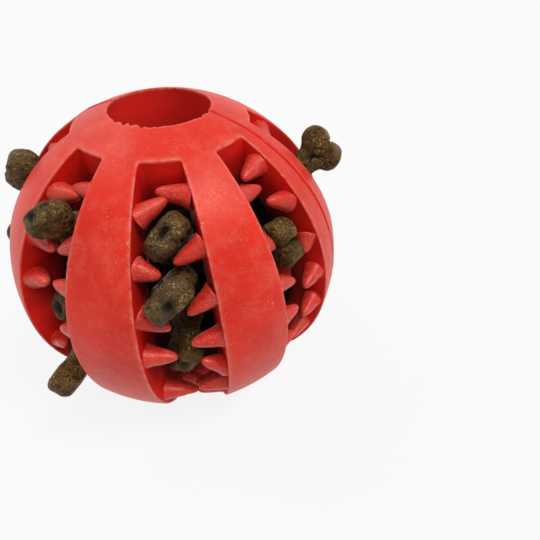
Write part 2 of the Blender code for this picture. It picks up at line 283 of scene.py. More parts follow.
def keep_values(mesh: bpy.types.Mesh, label: str, values: np.ndarray) -> None:
    """Keep a value on each point of a mesh, for its finish to read."""
    layer = mesh.attributes.new(label, "FLOAT", "POINT")
    layer.data.foreach_set("value", np.ascontiguousarray(values, dtype=np.float32))


def put_in_scene(name: str, data: bpy.types.ID) -> bpy.types.Object:
    """Make an object and put it in the scene.

    Args:
        name: Name of the object.
        data: Its mesh, camera or light.

    Returns:
        The new object.
    """
    thing = bpy.data.objects.new(name, data)
    bpy.context.scene.collection.objects.link(thing)
    return thing


def plainly_seen(tree: bpy.types.NodeTree) -> Socket:
    """A value that is 1 where a ray comes from the camera, a gloss or clear stuff, and else 0.

    Args:
        tree: Nodes of a material or a world.

    Returns:
        The value's socket.
    """
    rays = tree.nodes.new("ShaderNodeLightPath").outputs
    seen = rays["Is Camera Ray"]
    for kind in ("Is Glossy Ray", "Is Transmission Ray"):
        either = tree.nodes.new("ShaderNodeMath")
        either.operation = "MAXIMUM"
        tree.links.new(seen, either.inputs[0])
        tree.links.new(rays[kind], either.inputs[1])
        seen = either.outputs["Value"]
    return seen


@dataclass(frozen=True)
class Ripple:
    """Smooth unevenness: its height, its width and the shift of its pattern."""

    height: float
    width: float
    shift: float

    def at(self, points: np.ndarray, more: float = 0.0) -> np.ndarray:
        """Rise of the ripple at points.

        Args:
            points: Points in millimetres.
            more: A further shift of the pattern.

        Returns:
            One rise for each point, from -height to height.
        """
        start = Vector([way * (self.shift + more) for way in SHIFT_WAY])
        rises = [noise.noise(Vector(point) / self.width + start) for point in points]
        return self.height * np.array(rises)


@dataclass(frozen=True)
class BallForm:
    """Main sizes of the ball, as the frame has them."""

    radius: float = 35.0
    chamber: float = 27.0
    mouth: float = 9.25
    rim: float = 9.75
    foot: float = 7.0
    cap: float = 16.2
    half_slot: float = 11.9
    slot_pitch: float = 45.0
    seam: float = 67.5
    seam_gap: float = 0.15

    @property
    def centre_height(self) -> float:
        """Height of the ball's centre above the floor."""
        return math.sqrt(self.radius**2 - self.foot**2)

    def reach_latitude(self, reach: float, radius: float) -> float:
        """Latitude at which a sphere stands at a distance from the ball's axis."""
        return math.degrees(math.acos(reach / radius))

    def to_world(self, points: np.ndarray) -> np.ndarray:
        """Points about the centre, in millimetres, as points of the frame in metres."""
        return (points + np.array([0.0, 0.0, self.centre_height])) * MM

    def from_world(self, points: np.ndarray) -> np.ndarray:
        """Points of the frame in metres as points about the centre in millimetres."""
        return points / MM - np.array([0.0, 0.0, self.centre_height])


@dataclass(frozen=True)
class Row:
    """A row of points, with how worn they are, which also paints a pale edge highlight, and how deep
    in the ball they lie, from 0 to 1.
    """

    points: np.ndarray
    wear: float | np.ndarray = 0.0
    depth: float | np.ndarray = 0.0


@dataclass
class MeshStock:
    """Points, faces and point values gathered for one piece."""

    points: list[np.ndarray] = field(default_factory=list)
    faces: Faces = field(default_factory=list)
    values: list[np.ndarray] = field(default_factory=list)
    count: int = 0

    def add(self, points: np.ndarray, faces: Faces, values: np.ndarray) -> None:
        """Add a patch.

        Args:
            points: Points of the patch.
            faces: Faces by the patch's own point numbers.
            values: Wear, depth and frost of each point, from 0 to 1; wear also paints pale edge
                highlight, depth painted light and shade.
        """
        self.points.append(points)
        self.values.append(values)
        self.faces += [tuple(i + self.count for i in face) for face in faces]
        self.count += len(points)

    def add_grid(self, rows: list[Row], closed: bool) -> None:
        """Add a grid of quads.

        Args:
            rows: Rows of points, all of one length.
            closed: Whether each row is a ring.
        """
        width = len(rows[0].points)
        values = []
        for row in rows:
            columns = [np.broadcast_to(value, width) for value in (row.wear, row.depth, 0.0)]
            values.append(np.column_stack(columns))
        faces = ring_faces(len(rows), width, closed)
        self.add(np.vstack([row.points for row in rows]), faces, np.vstack(values))

    def mesh(self, name: str, form: BallForm) -> bpy.types.Mesh:
        """Join the gathered patches.

        Args:
            name: Name of the mesh.
            form: Sizes of the ball.

        Returns:
            One mesh in the frame's metres, with the values kept on its points.
        """
        mesh = bpy.data.meshes.new(name)
        mesh.from_pydata(form.to_world(np.vstack(self.points)).tolist(), [], self.faces)
        values = np.vstack(self.values)
        for i, label in enumerate(("wear", "depth", "frost")):
            keep_values(mesh, label, values[:, i])
        return mesh


@dataclass(frozen=True)
class SlotLoop:
    """Stations round a slot's outline, each with a partner on the border of the slot's sector.

    A station has six numbers: its place along the width and the height of the outline, its
    direction in the rounded corner, and its partner's place along the border's width and height.
    """

    form: BallForm
    slot: int
    corner: float = 0.6
    side_steps: int = 96
    end_steps: int = 36
    corner_steps: int = 6
    border_side: float = 0.94
    border_end: float = 0.86

    @property
    def middle(self) -> float:
        """Longitude of the slot's middle."""
        return self.slot * self.form.slot_pitch

    def bend(self) -> np.ndarray:
        """Make the stations of the upper right corner.

        Returns:
            One row for each station, from the wall to the slot's end.
        """
        turn = np.linspace(0.0, 1.0, self.corner_steps + 1)[1:-1]
        angle = turn * math.pi / 2
        along_end = 1.0 - (1.0 - self.border_end) * (2 * turn - 1.0)
        up_side = self.border_side + (1.0 - self.border_side) * 2 * turn
        border_wide = np.where(turn <= 0.5, 1.0, along_end)
        border_high = np.where(turn <= 0.5, up_side, 1.0)
        one = np.ones_like(turn)
        return np.column_stack([one, one, np.cos(angle), np.sin(angle), border_wide, border_high])

    @cached_property
    def stations(self) -> np.ndarray:
        """All stations, up the right wall and round against the clock.

        Returns:
            One row for each station.
        """
        rise = np.linspace(-1.0, 1.0, self.side_steps + 1)
        one, none = np.ones_like(rise), np.zeros_like(rise)
        right = np.column_stack([one, rise, one, none, one, rise * self.border_side])
        bend = self.bend()
        run = np.linspace(1.0, -1.0, self.end_steps + 1)
        one, none = np.ones_like(run), np.zeros_like(run)
        end = np.column_stack([run, one, none, one, run * self.border_end, one])
        other_bend = bend[::-1] * np.array([-1, 1, -1, 1, -1, 1])
        half = np.vstack([right, bend, end, other_bend])
        return np.vstack([half, -half])

    def outline(self, radius: float, grow: float | np.ndarray) -> tuple[np.ndarray, np.ndarray]:
        """The slot's outline on a sphere.

        Args:
            radius: Radius of the sphere.
            grow: Distance by which each station is moved out of the slot.

        Returns:
            Longitudes from the slot's middle, and latitudes.
        """
        stations = self.stations
        limit = self.form.reach_latitude(self.form.cap, radius)
        bend_lat = math.degrees(self.corner / radius)
        bend_lon = math.degrees(self.corner / self.form.cap)
        latitude = stations[:, Station.HIGH] * (limit - bend_lat)
        lift = bend_lat + np.degrees(grow / radius)
        latitude = latitude + stations[:, Station.TURN_HIGH] * lift
        spread = np.degrees(grow / (radius * np.cos(np.radians(latitude))))
        longitude = stations[:, Station.WIDE] * (self.form.half_slot - bend_lon)
        return longitude + stations[:, Station.TURN_WIDE] * (bend_lon + spread), latitude

    def border(self, top: float, bottom: float) -> tuple[np.ndarray, np.ndarray]:
        """The border of the slot's sector.

        Args:
            top: Latitude of the sector's top.
            bottom: Latitude of its bottom, as a drop below the level plane.

        Returns:
            Longitudes from the slot's middle, and latitudes.
        """
        height = self.stations[:, Station.BORDER_HIGH]
        latitude = np.where(height > 0.0, height * top, height * bottom)
        return self.stations[:, Station.BORDER_WIDE] * self.form.slot_pitch / 2, latitude

    def ring(self, radius: float, grow: float | np.ndarray) -> np.ndarray:
        """Points of the slot's outline on a sphere, moved out of the slot by a distance."""
        longitude, latitude = self.outline(radius, grow)
        return on_sphere(longitude + self.middle, latitude, radius)

    def between(
        self, share: float, radius: float, grow: float | np.ndarray, ends: tuple[float, float]
    ) -> np.ndarray:
        """Points of a ring between the sector's border and the slot's outline.

        Args:
            share: Share of the way from the border to the outline.
            radius: Radius of the sphere that the ring lies on.
            grow: Distance by which the outline is moved out of the slot.
            ends: Latitudes of the sector's top and bottom.

        Returns:
            An array of X, Y and Z columns.
        """
        border_lon, border_lat = self.border(*ends)
        edge_lon, edge_lat = self.outline(radius, grow)
        longitude = (1 - share) * border_lon + share * edge_lon
        latitude = (1 - share) * border_lat + share * edge_lat
        return on_sphere(longitude + self.middle, latitude, radius)

    def end_longitudes(self) -> np.ndarray:
        """Find where the sector's stations stand on the mouth and the foot.

        Returns:
            Longitudes in growing order.
        """
        at_end = self.stations[:, Station.BORDER_HIGH] >= 1.0
        places = np.sort(self.stations[at_end][:, Station.BORDER_WIDE])
        return places * self.form.slot_pitch / 2 + self.middle


@dataclass(frozen=True)
class ToothForm:
    """Sizes of a soft tooth and of the rows that the teeth stand in.

    Drops are the steps in latitude from a slot's top and bottom to a row's first and last tooth.
    """

    radius: float = 1.98
    depth: float = 2.8
    blunt: float = 0.45
    flare: float = 0.34
    flare_rise: float = 0.55
    sunk: float = 0.25
    tip_wear: float = 0.5
    tip_wear_fading: float = 3.0
    heart: float = 0.4
    uneven: Ripple = Ripple(0.07, 1.6, 3.0)
    sides: int = 24
    rings: int = 14
    ring_crowding: float = 1.7
    per_row: int = 8
    right_drops: tuple[float, float] = (8.8, 11.8)
    left_drops: tuple[float, float] = (13.9, 6.7)
    lean_most: float = 40.0
    lean_step: float = 5.0
    feeler_start: float = 0.5
    longest: float = 6.0
    shortest: float = 1.0


@dataclass(frozen=True)
class Tooth:
    """One tooth: where it stands, where it points and how long it is."""

    form: ToothForm
    base: Vector
    axis: Vector
    length: float

    def radius_at(self, rise: float) -> float:
        """Radius of the tooth, with the fillet that meets the wall.

        Args:
            rise: Rise above the wall.

        Returns:
            The radius there.
        """
        share = min(max(rise / self.length, 0.0), 1.0)
        body = self.form.radius * (1.0 - share) ** self.form.blunt
        fillet = self.form.flare * math.exp(-max(rise, 0.0) / self.form.flare_rise)
        return body + fillet * (1.0 - share)

    def rises(self) -> list[float]:
        """Rises of the tooth's rings, from its sunk foot, and closer together near the tip.

        Returns:
            The rises above the wall.
        """
        steps = [i / self.form.rings for i in range(self.form.rings)]
        crowded = [1.0 - (1.0 - step) ** self.form.ring_crowding for step in steps]
        return [-self.form.sunk] + [self.length * share for share in crowded]

    def cloud(self, rises: list[float]) -> np.ndarray:
        """Make the tooth's points.

        Args:
            rises: Rises of the rings.

        Returns:
            The rings' points, and the tip as the last one.
        """
        turn = self.axis.to_track_quat("Z", "Y").to_matrix()
        points = []
        for rise in rises:
            radius = self.radius_at(rise)
            for k in range(self.form.sides):
                angle = 2 * math.pi * k / self.form.sides
                spot = Vector((radius * math.cos(angle), radius * math.sin(angle), rise))
                points.append(self.base + turn @ spot)
        points.append(self.base + self.axis * self.length)
        cloud = np.array(points)
        outward = cloud - np.array(self.base + self.axis * self.length * self.form.heart)
        outward /= np.linalg.norm(outward, axis=1, keepdims=True)
        return cloud + outward * self.form.uneven.at(cloud)[:, None]

    def build(self, stock: MeshStock) -> None:
        """Add the tooth as one closed body.

        Args:
            stock: The patches that it is added to.
        """
        sides, rises = self.form.sides, self.rises()
        cloud = self.cloud(rises)
        top, tip = (len(rises) - 1) * sides, len(cloud) - 1
        faces: Faces = [tuple(reversed(range(sides)))]
        faces += ring_faces(len(rises), sides, closed=True)
        faces += [(top + k, top + (k + 1) % sides, tip) for k in range(sides)]
        share = np.append(np.repeat(rises, sides), self.length) / self.length
        tipness = np.clip(share, 0.0, 1.0)
        wear = self.form.tip_wear * tipness**self.form.tip_wear_fading
        values = np.column_stack([wear, np.zeros_like(tipness), np.ones_like(tipness)])
        stock.add(cloud, faces, values)


@dataclass(frozen=True)
class SeamForm:
    """The bonded seam on the outer skin: a narrow dip with a ragged lip on both sides."""

    dip: float = 0.36
    dip_width: float = 0.3
    lip: float = 0.16
    lip_place: float = 0.6
    lip_width: float = 0.35
    lip_evenness: float = 0.6
    lip_ragged: Ripple = Ripple(0.8, 2.6, 11.0)
    front_share: float = 0.35
    # Painted shade along the seam's line, and its width.
    shade: float = 0.4
    shade_width: float = 0.5
    closing: float = 1.2


@dataclass(frozen=True)
class MouthForm:
    """The mouth's rounded rim, the ragged flash on it and the wall below.

    Bitten holds the longitude and the width of each stretch where the flash is torn most.
    """

    crest: float = 0.12
    drop: float = 0.5
    flash: float = 0.23
    flash_rise: float = 0.8
    flash_even: float = 0.4
    flash_torn: float = 0.25
    bitten_torn: float = 1.6
    bitten: tuple[tuple[float, float], ...] = ((-32.0, 26.0), (67.5, 16.0))
    torn_reach: float = 9.0
    torn: tuple[Ripple, ...] = (Ripple(0.8, 1.1, 2.0), Ripple(1.0, 0.42, 4.0))
    # Wear on the rim and its crest also paints a pale highlight along it.
    rim_wear: float = 0.2
    crest_steps: tuple[tuple[float, float, float], ...] = (
        (0.25, 0.5, 0.7),
        (0.5, 1.0, 1.0),
        (0.75, 0.55, 0.6),
    )
    wall_steps: int = 12
    wall_bulge: Ripple = Ripple(0.05, 5.0, 8.0)
    # Depths of the mouth's wall set its painted light, lightest at the top.
    wall_depth: float = 0.16
    wall_deepening: float = 0.1


@dataclass
class HalfShell:
    """One half of the ball: four slot sectors, half the mouth and the foot, the seam and teeth."""

    half: Half
    form: BallForm
    teeth: ToothForm
    seam: SeamForm = SeamForm()
    mouth: MouthForm = MouthForm()
    edge: float = 0.32
    edge_wobble: Ripple = Ripple(0.07, 2.4, 7.0)
    # Wear across the rounded edge, which also paints a pale highlight along it.
    edge_wear: tuple[tuple[float, float], ...] = ((0.0, 0.35), (0.25, 0.9), (0.5, 1.0), (0.75, 0.7))
    flash: float = 0.09
    swell: Ripple = Ripple(0.05, 11.0, 5.0)
    outer_shares: tuple[float, ...] = (0.0, 0.02, 0.045, 0.085, 0.15, 0.25, 0.4, 0.58, 0.76, 0.9)
    wall_steps: int = 10
    # Wear at the wall's top also paints a pale edge highlight.
    wall_wear: float = 0.15
    # Depths of the walls, their lower edges and the chamber set the inner finish's painted shade,
    # darker deeper in.
    wall_depth: float = 0.3
    wall_deepening: float = 0.55
    lip_shares: tuple[float, ...] = (0.33, 0.67, 1.0)
    lip_depth: float = 0.9
    inner_shares: tuple[float, ...] = (0.8, 0.5, 0.2, 0.0)
    foot_rings: tuple[float, ...] = (6.6, 5.0, 3.0, 1.2, 0.0)
    floor_latitude: float = -84.0
    floor_steps: int = 4
    inner_depth: float = 0.15
    crumb_reach: float = 2.4
    weld_reach: float = 0.002
    sharp_angle: float = 55.0

    def across_seam(self, points: np.ndarray) -> np.ndarray:
        """Distance of points from the seam's plane."""
        return np.abs(points @ np.array(east(self.form.seam)))

    def wavy(self, points: np.ndarray) -> np.ndarray:
        """Lay the unevenness of moulded rubber and the seam's relief on the outer surface.

        Args:
            points: Points of the even surface.

        Returns:
            The moved points, none of them below the foot.
        """
        seam = self.seam
        unit = points / np.linalg.norm(points, axis=1, keepdims=True)
        across = self.across_seam(points)
        ragged = seam.lip_evenness + seam.lip_ragged.at(points)
        lip = seam.lip * ragged * hill(across - seam.lip_place, seam.lip_width)
        dip = -seam.dip * hill(across, seam.dip_width)
        if self.half is Half.FRONT:
            lip = seam.front_share * lip
        moved = points + unit * (lip + dip + self.swell.at(points))[:, None]
        moved[:, 2] = np.maximum(moved[:, 2], -self.form.centre_height)
        return moved

    def seam_painted_shade(self, points: np.ndarray) -> np.ndarray:
        """Painted shade along the seam, from 0 to 1, kept as depth so that the seam takes the duller
        inner red.
        """
        across = self.across_seam(points) / self.seam.shade_width
        return self.seam.shade * np.exp(-(across**4))

    def skin_rows(self, loop: SlotLoop, wobble: np.ndarray) -> list[Row]:
        """Rows of the outer skin and of the slot's rounded edge.

        Args:
            loop: The slot's stations.
            wobble: Unevenness of the edge at each station.

        Returns:
            The rows, from the sector's border into the slot.
        """
        radius, grow = self.form.radius, self.edge + wobble
        top = self.form.reach_latitude(self.form.rim, radius)
        bottom = self.form.reach_latitude(self.form.foot, radius)
        rows = []
        for share in self.outer_shares:
            spots = loop.between(share, radius, grow, (top, bottom))
            # The seam's painted shade goes in as depth.
            rows.append(Row(self.wavy(spots), depth=self.seam_painted_shade(spots)))
        outer, corner = self.wavy(loop.ring(radius, grow)), self.wavy(loop.ring(radius, wobble))
        lifted = corner * (1.0 + self.flash / radius)
        inner = loop.ring(radius - self.edge, wobble)
        for share, worn in self.edge_wear:
            rows.append(Row(bezier(outer, lifted, inner, share), wear=worn))
        return rows

    def inner_rows(self, loop: SlotLoop, wobble: np.ndarray) -> list[Row]:
        """Rows of the slot's wall, of its lower edge and of the chamber.

        Args:
            loop: The slot's stations.
            wobble: Unevenness of the edge at each station.

        Returns:
            The rows, from the rounded edge to the sector's border in the chamber.
        """
        radius, chamber = self.form.radius, self.form.chamber
        rows = []
        for i in range(self.wall_steps):
            share = i / (self.wall_steps - 1)
            sunk = radius - self.edge - share * (radius - chamber - 2 * self.edge)
            worn = self.wall_wear if i == 0 else 0.0
            depth = self.wall_depth + self.wall_deepening * share
            rows.append(Row(loop.ring(sunk, wobble * (1 - share)), worn, depth))
        lower, lip = loop.ring(chamber + self.edge, 0.0), loop.ring(chamber, self.edge)
        for share in self.lip_shares:
            spots = bezier(lower, loop.ring(chamber, 0.0), lip, share)
            rows.append(Row(spots, depth=self.lip_depth))
        ends = (self.form.reach_latitude(self.form.mouth, chamber), -self.floor_latitude)
        for share in self.inner_shares:
            rows.append(Row(loop.between(share, chamber, self.edge, ends), depth=1.0))
        return rows

    def build_sector(self, stock: MeshStock, loop: SlotLoop) -> None:
        """Add the rubber round one slot, from the rib's middle through the slot to the chamber.

        Args:
            stock: The patches that it is added to.
            loop: The slot's stations.
        """
        wobble = self.edge_wobble.at(loop.ring(self.form.radius, 0.0))
        rows = self.skin_rows(loop, wobble) + self.inner_rows(loop, wobble)
        stock.add_grid(rows, closed=True)

    def build_mouth(self, stock: MeshStock, loop: SlotLoop) -> None:
        """Add one sector of the mouth: its rim with ragged flash, and its wall down to the chamber.

        Args:
            stock: The patches that it is added to.
            loop: The stations of the sector's slot.
        """
        mouth, reach = self.mouth, self.form.mouth
        longitude = loop.end_longitudes()
        level, up = level_ring(longitude), np.array([0.0, 0.0, 1.0])
        rim_height = math.sqrt(self.form.radius**2 - self.form.rim**2)
        wall_top = rim_height - mouth.drop
        start = self.wavy(level * self.form.rim + up * rim_height)
        corner = level * reach + up * (rim_height + mouth.crest)
        end = level * reach + up * wall_top
        bitten = sum(hill(longitude - place, width) for place, width in mouth.bitten)
        torn = sum(ripple.at(level * mouth.torn_reach) for ripple in mouth.torn)
        even = mouth.flash_even + mouth.flash_torn * torn
        lift = mouth.flash * (even + mouth.bitten_torn * bitten * torn)
        rows = [Row(start, wear=mouth.rim_wear)]
        for share, raised, worn in mouth.crest_steps:
            flash = (up * mouth.flash_rise - level) * (lift * raised)[:, None]
            rows.append(Row(bezier(start, corner, end, share) + flash, wear=worn))
        floor = math.sqrt(self.form.chamber**2 - reach**2)
        for i in range(mouth.wall_steps + 1):
            share = i / mouth.wall_steps
            spots = level * reach + up * (wall_top - share * (wall_top - floor))
            if i < mouth.wall_steps:
                spots = spots - level * mouth.wall_bulge.at(spots)[:, None]
            rows.append(Row(spots, depth=mouth.wall_depth + mouth.wall_deepening * share))
        stock.add_grid(rows, closed=False)

    def build_ends(self, stock: MeshStock, loop: SlotLoop) -> None:
        """Add one sector of the foot's flat and of the chamber's floor.

        Args:
            stock: The patches that they are added to.
            loop: The stations of the sector's slot.
        """
        longitude = loop.end_longitudes()
        level = level_ring(longitude)
        foot = np.array([0.0, 0.0, -self.form.centre_height])
        rows = [Row(self.wavy(level * self.form.foot + foot))]
        rows += [Row(level * reach + foot) for reach in self.foot_rings]
        stock.add_grid(rows, closed=False)
        rows = []
        # Depth 1 gives the chamber's floor the inner finish's painted shade.
        for latitude in np.linspace(self.floor_latitude, -90.0, self.floor_steps):
            spots = on_sphere(longitude, np.full_like(longitude, latitude), self.form.chamber)
            rows.append(Row(spots, depth=1.0))
        stock.add_grid(rows, closed=False)

    def find_teeth(self, node: bpy.types.Object) -> list[Tooth]:
        """The teeth that the half's solid has, with the lean and length that they have there.

        Args:
            node: The half's solid.

        Returns:
            The teeth in the ball's own millimetres.
        """
        form, teeth = self.form, self.teeth
        spots = form.from_world(points_of(node.data)).tolist()
        tree = BVHTree.FromPolygons(spots, [list(face.vertices) for face in node.data.polygons])
        slot_end = form.reach_latitude(form.cap, form.radius)
        found = []
        for slot in self.half.slots:
            for wall, drops in ((Wall.RIGHT, teeth.right_drops), (Wall.LEFT, teeth.left_drops)):
                longitude = slot * form.slot_pitch + wall.value * form.half_slot
                inward = east(longitude) * -wall.value
                pitch = (2 * slot_end - sum(drops)) / (teeth.per_row - 1)
                for i in range(teeth.per_row):
                    outward = heading(longitude, slot_end - drops[0] - i * pitch)
                    base = outward * (form.radius - teeth.depth)
                    along = outward.cross(inward) * wall.value
                    tooth = self.read_tooth(tree, base, inward, along)
                    if tooth is not None:
                        found.append(tooth)
        return found

    def read_tooth(
        self, tree: BVHTree, base: Vector, inward: Vector, along: Vector
    ) -> Tooth | None:
        """Find how a tooth of the solid leans and how long it is.

        Args:
            tree: The solid's faces.
            base: Middle of the tooth's base on the wall.
            inward: Direction from the wall into the slot.
            along: Direction along the row, which the tooth may lean towards.

        Returns:
            The tooth, or None where the solid has none.
        """
        best: Tooth | None = None
        count = round(self.teeth.lean_most / self.teeth.lean_step)
        for i in range(-count, count + 1):
            turn = math.radians(i * self.teeth.lean_step)
            axis = inward * math.cos(turn) + along * math.sin(turn)
            start = axis * self.teeth.feeler_start
            spot, normal, _, distance = tree.ray_cast(base + start, axis, self.teeth.longest)
            if spot is None or normal.dot(axis) <= 0.0:
                continue
            length = distance + start.length
            if length > self.teeth.shortest and (best is None or length > best.length):
                best = Tooth(self.teeth, base.copy(), axis, length)
        return best

    def close_seam(self, working: bmesh.types.BMesh) -> None:
        """Close the half along the seam, and draw its rim back by half the seam's gap.

        Args:
            working: The half's rubber, open along the seam.
        """
        border = [edge for edge in working.edges if edge.is_boundary]
        rim = {vertex for edge in border for vertex in edge.verts}
        bmesh.ops.edgeloop_fill(working, edges=border)
        shift = east(self.form.seam) * (self.half.side * self.form.seam_gap * MM)
        centre = Vector((0.0, 0.0, self.form.centre_height * MM))
        for vertex in rim:
            rise = (vertex.co - centre).length / MM - self.form.radius
            vertex.co += shift * min(max(1.0 + rise / self.seam.closing, 0.0), 1.0)

    def strew(self, mesh: bpy.types.Mesh, treats: list[bpy.types.Object]) -> None:
        """Mark how close the points lie to a lodged treat, where its crumbs stick, from 0 to 1.

        Args:
            mesh: The half's mesh.
            treats: Solids of the lodged treats.
        """
        spots = [vertex.co for treat in treats for vertex in treat.data.vertices]
        tree = KDTree(len(spots))
        for i, spot in enumerate(spots):
            tree.insert(spot, i)
        tree.balance()
        gaps = np.array([tree.find(vertex.co)[2] for vertex in mesh.vertices]) / MM
        keep_values(mesh, "strewn", hill(gaps, self.crumb_reach))

    def part_finishes(self, mesh: bpy.types.Mesh) -> None:
        """Give the inner faces the second finish, by the depth of their points.

        Args:
            mesh: The half's mesh.
        """
        depth = np.empty(len(mesh.vertices), dtype=np.float32)
        mesh.attributes["depth"].data.foreach_get("value", depth)
        for face in mesh.polygons:
            face.material_index = int(min(depth[i] for i in face.vertices) > self.inner_depth)

    def mould(self, mesh: bpy.types.Mesh, teeth: bpy.types.Mesh) -> None:
        """Weld the patches of the rubber, close it along the seam and set the teeth in it.

        Args:
            mesh: The rubber's patches, which become the whole half.
            teeth: The teeth, whose mesh is used up.
        """
        working = bmesh.new()
        working.from_mesh(mesh)
        bmesh.ops.remove_doubles(working, verts=working.verts, dist=self.weld_reach * MM)
        self.close_seam(working)
        bmesh.ops.recalc_face_normals(working, faces=working.faces)
        working.from_mesh(teeth)
        working.to_mesh(mesh)
        working.free()
        bpy.data.meshes.remove(teeth)

    def build(self, node: bpy.types.Object, treats: list[bpy.types.Object]) -> bpy.types.Object:
        """Make the half as one object.

        Args:
            node: The half's solid.
            treats: Solids of the lodged treats.

        Returns:
            The new object, in the frame's metres.
        """
        rubber, teeth = MeshStock(), MeshStock()
        for slot in self.half.slots:
            loop = SlotLoop(self.form, slot)
            self.build_sector(rubber, loop)
            self.build_mouth(rubber, loop)
            self.build_ends(rubber, loop)
        found = self.find_teeth(node)
        for tooth in found:
            tooth.build(teeth)
        name = self.half.node.replace("shell", "rubber")
        mesh = rubber.mesh(name, self.form)
        self.mould(mesh, teeth.mesh(name + "_teeth", self.form))
        self.part_finishes(mesh)
        self.strew(mesh, treats)
        mesh.shade_smooth()
        mesh.set_sharp_from_angle(angle=math.radians(self.sharp_angle))
        LOG.info("%s: %d teeth, %d faces", name, len(found), len(mesh.polygons))
        return put_in_scene(name, mesh)

    def dress(
        self, piece: bpy.types.Object, skin: bpy.types.Material, inside: bpy.types.Material
    ) -> None:
        """Give the half its rubber and put it in place of its solid.

        Args:
            piece: The half.
            skin: Rubber of the outer skin and the teeth.
            inside: Rubber of the slot walls and the chamber.
        """
        piece.data.materials.append(skin)
        piece.data.materials.append(inside)
        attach(piece, "ball")
        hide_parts(self.half.node)


@dataclass(frozen=True)
class Ground:
    """Points of a treat's smooth surface, with the sway and the tear that its marks follow."""

    points: np.ndarray
    sway: np.ndarray
    tear: np.ndarray
    half_length: float


@dataclass(frozen=True)
class Crease:
    """The crease between the two lobes of a treat's end."""

    width: float = 0.45
    inset: float = 1.3
    reach: float = 1.5
    off_middle: float = 1.5
    fading: float = 2.2
    depths: tuple[float, float] = (0.6, 0.9)
    sink: float = 0.9

    def cut(self, ground: Ground, end: float, chance: random.Random) -> np.ndarray:
        """Find how deep the points lie in the crease.

        Args:
            ground: The treat's surface.
            end: The treat's end, -1 or 1.
            chance: The treat's own chance.

        Returns:
            A depth from 0 to 1 for each point.
        """
        x, y, z = ground.points.T
        inward = (x * end - ground.half_length + self.inset) / self.reach
        crease = np.exp(-(((y + ground.sway) / self.width) ** 2) - inward**2)
        fading = hill(z - chance.uniform(-self.off_middle, self.off_middle), self.fading)
        return crease * (fading * chance.uniform(*self.depths))


@dataclass(frozen=True)
class Dent:
    """The torn dent in a treat's end."""

    depths: tuple[float, float]
    off_side: float = 1.2
    off_middle: float = 0.6
    reach: tuple[float, float, float] = (1.9, 1.9, 1.4)
    sink: float = 1.2

    def cut(self, ground: Ground, end: float, chance: random.Random) -> np.ndarray:
        """Find how deep the points lie in the dent.

        Args:
            ground: The treat's surface.
            end: The treat's end, -1 or 1.
            chance: The treat's own chance.

        Returns:
            A depth from 0 to 1 for each point.
        """
        side = chance.uniform(-self.off_side, self.off_side)
        rise = chance.uniform(-self.off_middle, self.off_middle)
        spot = np.array([end * ground.half_length, side, rise])
        torn = (ground.points - spot + ground.tear) / np.array(self.reach)
        return hill(np.linalg.norm(torn, axis=1), 1.0) * chance.uniform(*self.depths)


@dataclass(frozen=True)
class Fold:
    """A fold along one face of a treat."""

    width: float = 0.5
    off_side: float = 2.0
    sway: float = 2.0
    place: float = 2.5
    reach: float = 3.0
    depth: float = 0.8
    face_start: float = 1.0
    sink: float = 0.7

    def cut(self, ground: Ground, end: float, chance: random.Random) -> np.ndarray:
        """Find how deep the points lie in the fold.

        Args:
            ground: The treat's surface.
            end: The treat's end, -1 or 1.
            chance: The treat's own chance.

        Returns:
            A depth from 0 to 1 for each point.
        """
        x, y, z = ground.points.T
        face = 1.0 if chance.random() > 0.5 else -1.0
        off = chance.uniform(-self.off_side, self.off_side)
        lane = (y - off + self.sway * ground.sway) / self.width
        fold = np.exp(-(lane**2) - ((x - self.place * end) / self.reach) ** 2)
        return fold * self.depth * np.clip(z * face - self.face_start, 0.0, 1.0)


@dataclass(frozen=True)
class Pit:
    """A small pit in the crust, left by a bubble."""

    radii: tuple[float, float] = (0.25, 0.7)
    depths: tuple[float, float] = (0.3, 0.9)
    sink: float = 0.6

    def cut(self, ground: Ground, chance: random.Random) -> np.ndarray:
        """Find how deep the points lie in a pit at a random place.

        Args:
            ground: The treat's surface.
            chance: The treat's own chance.

        Returns:
            A depth from 0 to 1 for each point.
        """
        spot = ground.points[chance.randrange(len(ground.points))]
        gaps = np.linalg.norm(ground.points - spot, axis=1)
        return hill(gaps, chance.uniform(*self.radii)) * chance.uniform(*self.depths)


@dataclass
class Carving:
    """How hollow a treat's points are, from 0 to 1, and how far they are sunk."""

    hollow: np.ndarray
    sunk: np.ndarray

    def add(self, cut: np.ndarray, sink: float) -> None:
        """Carve a mark where it is deeper than what is there."""
        self.hollow = np.maximum(self.hollow, cut)
        self.sunk = np.maximum(self.sunk, sink * cut)


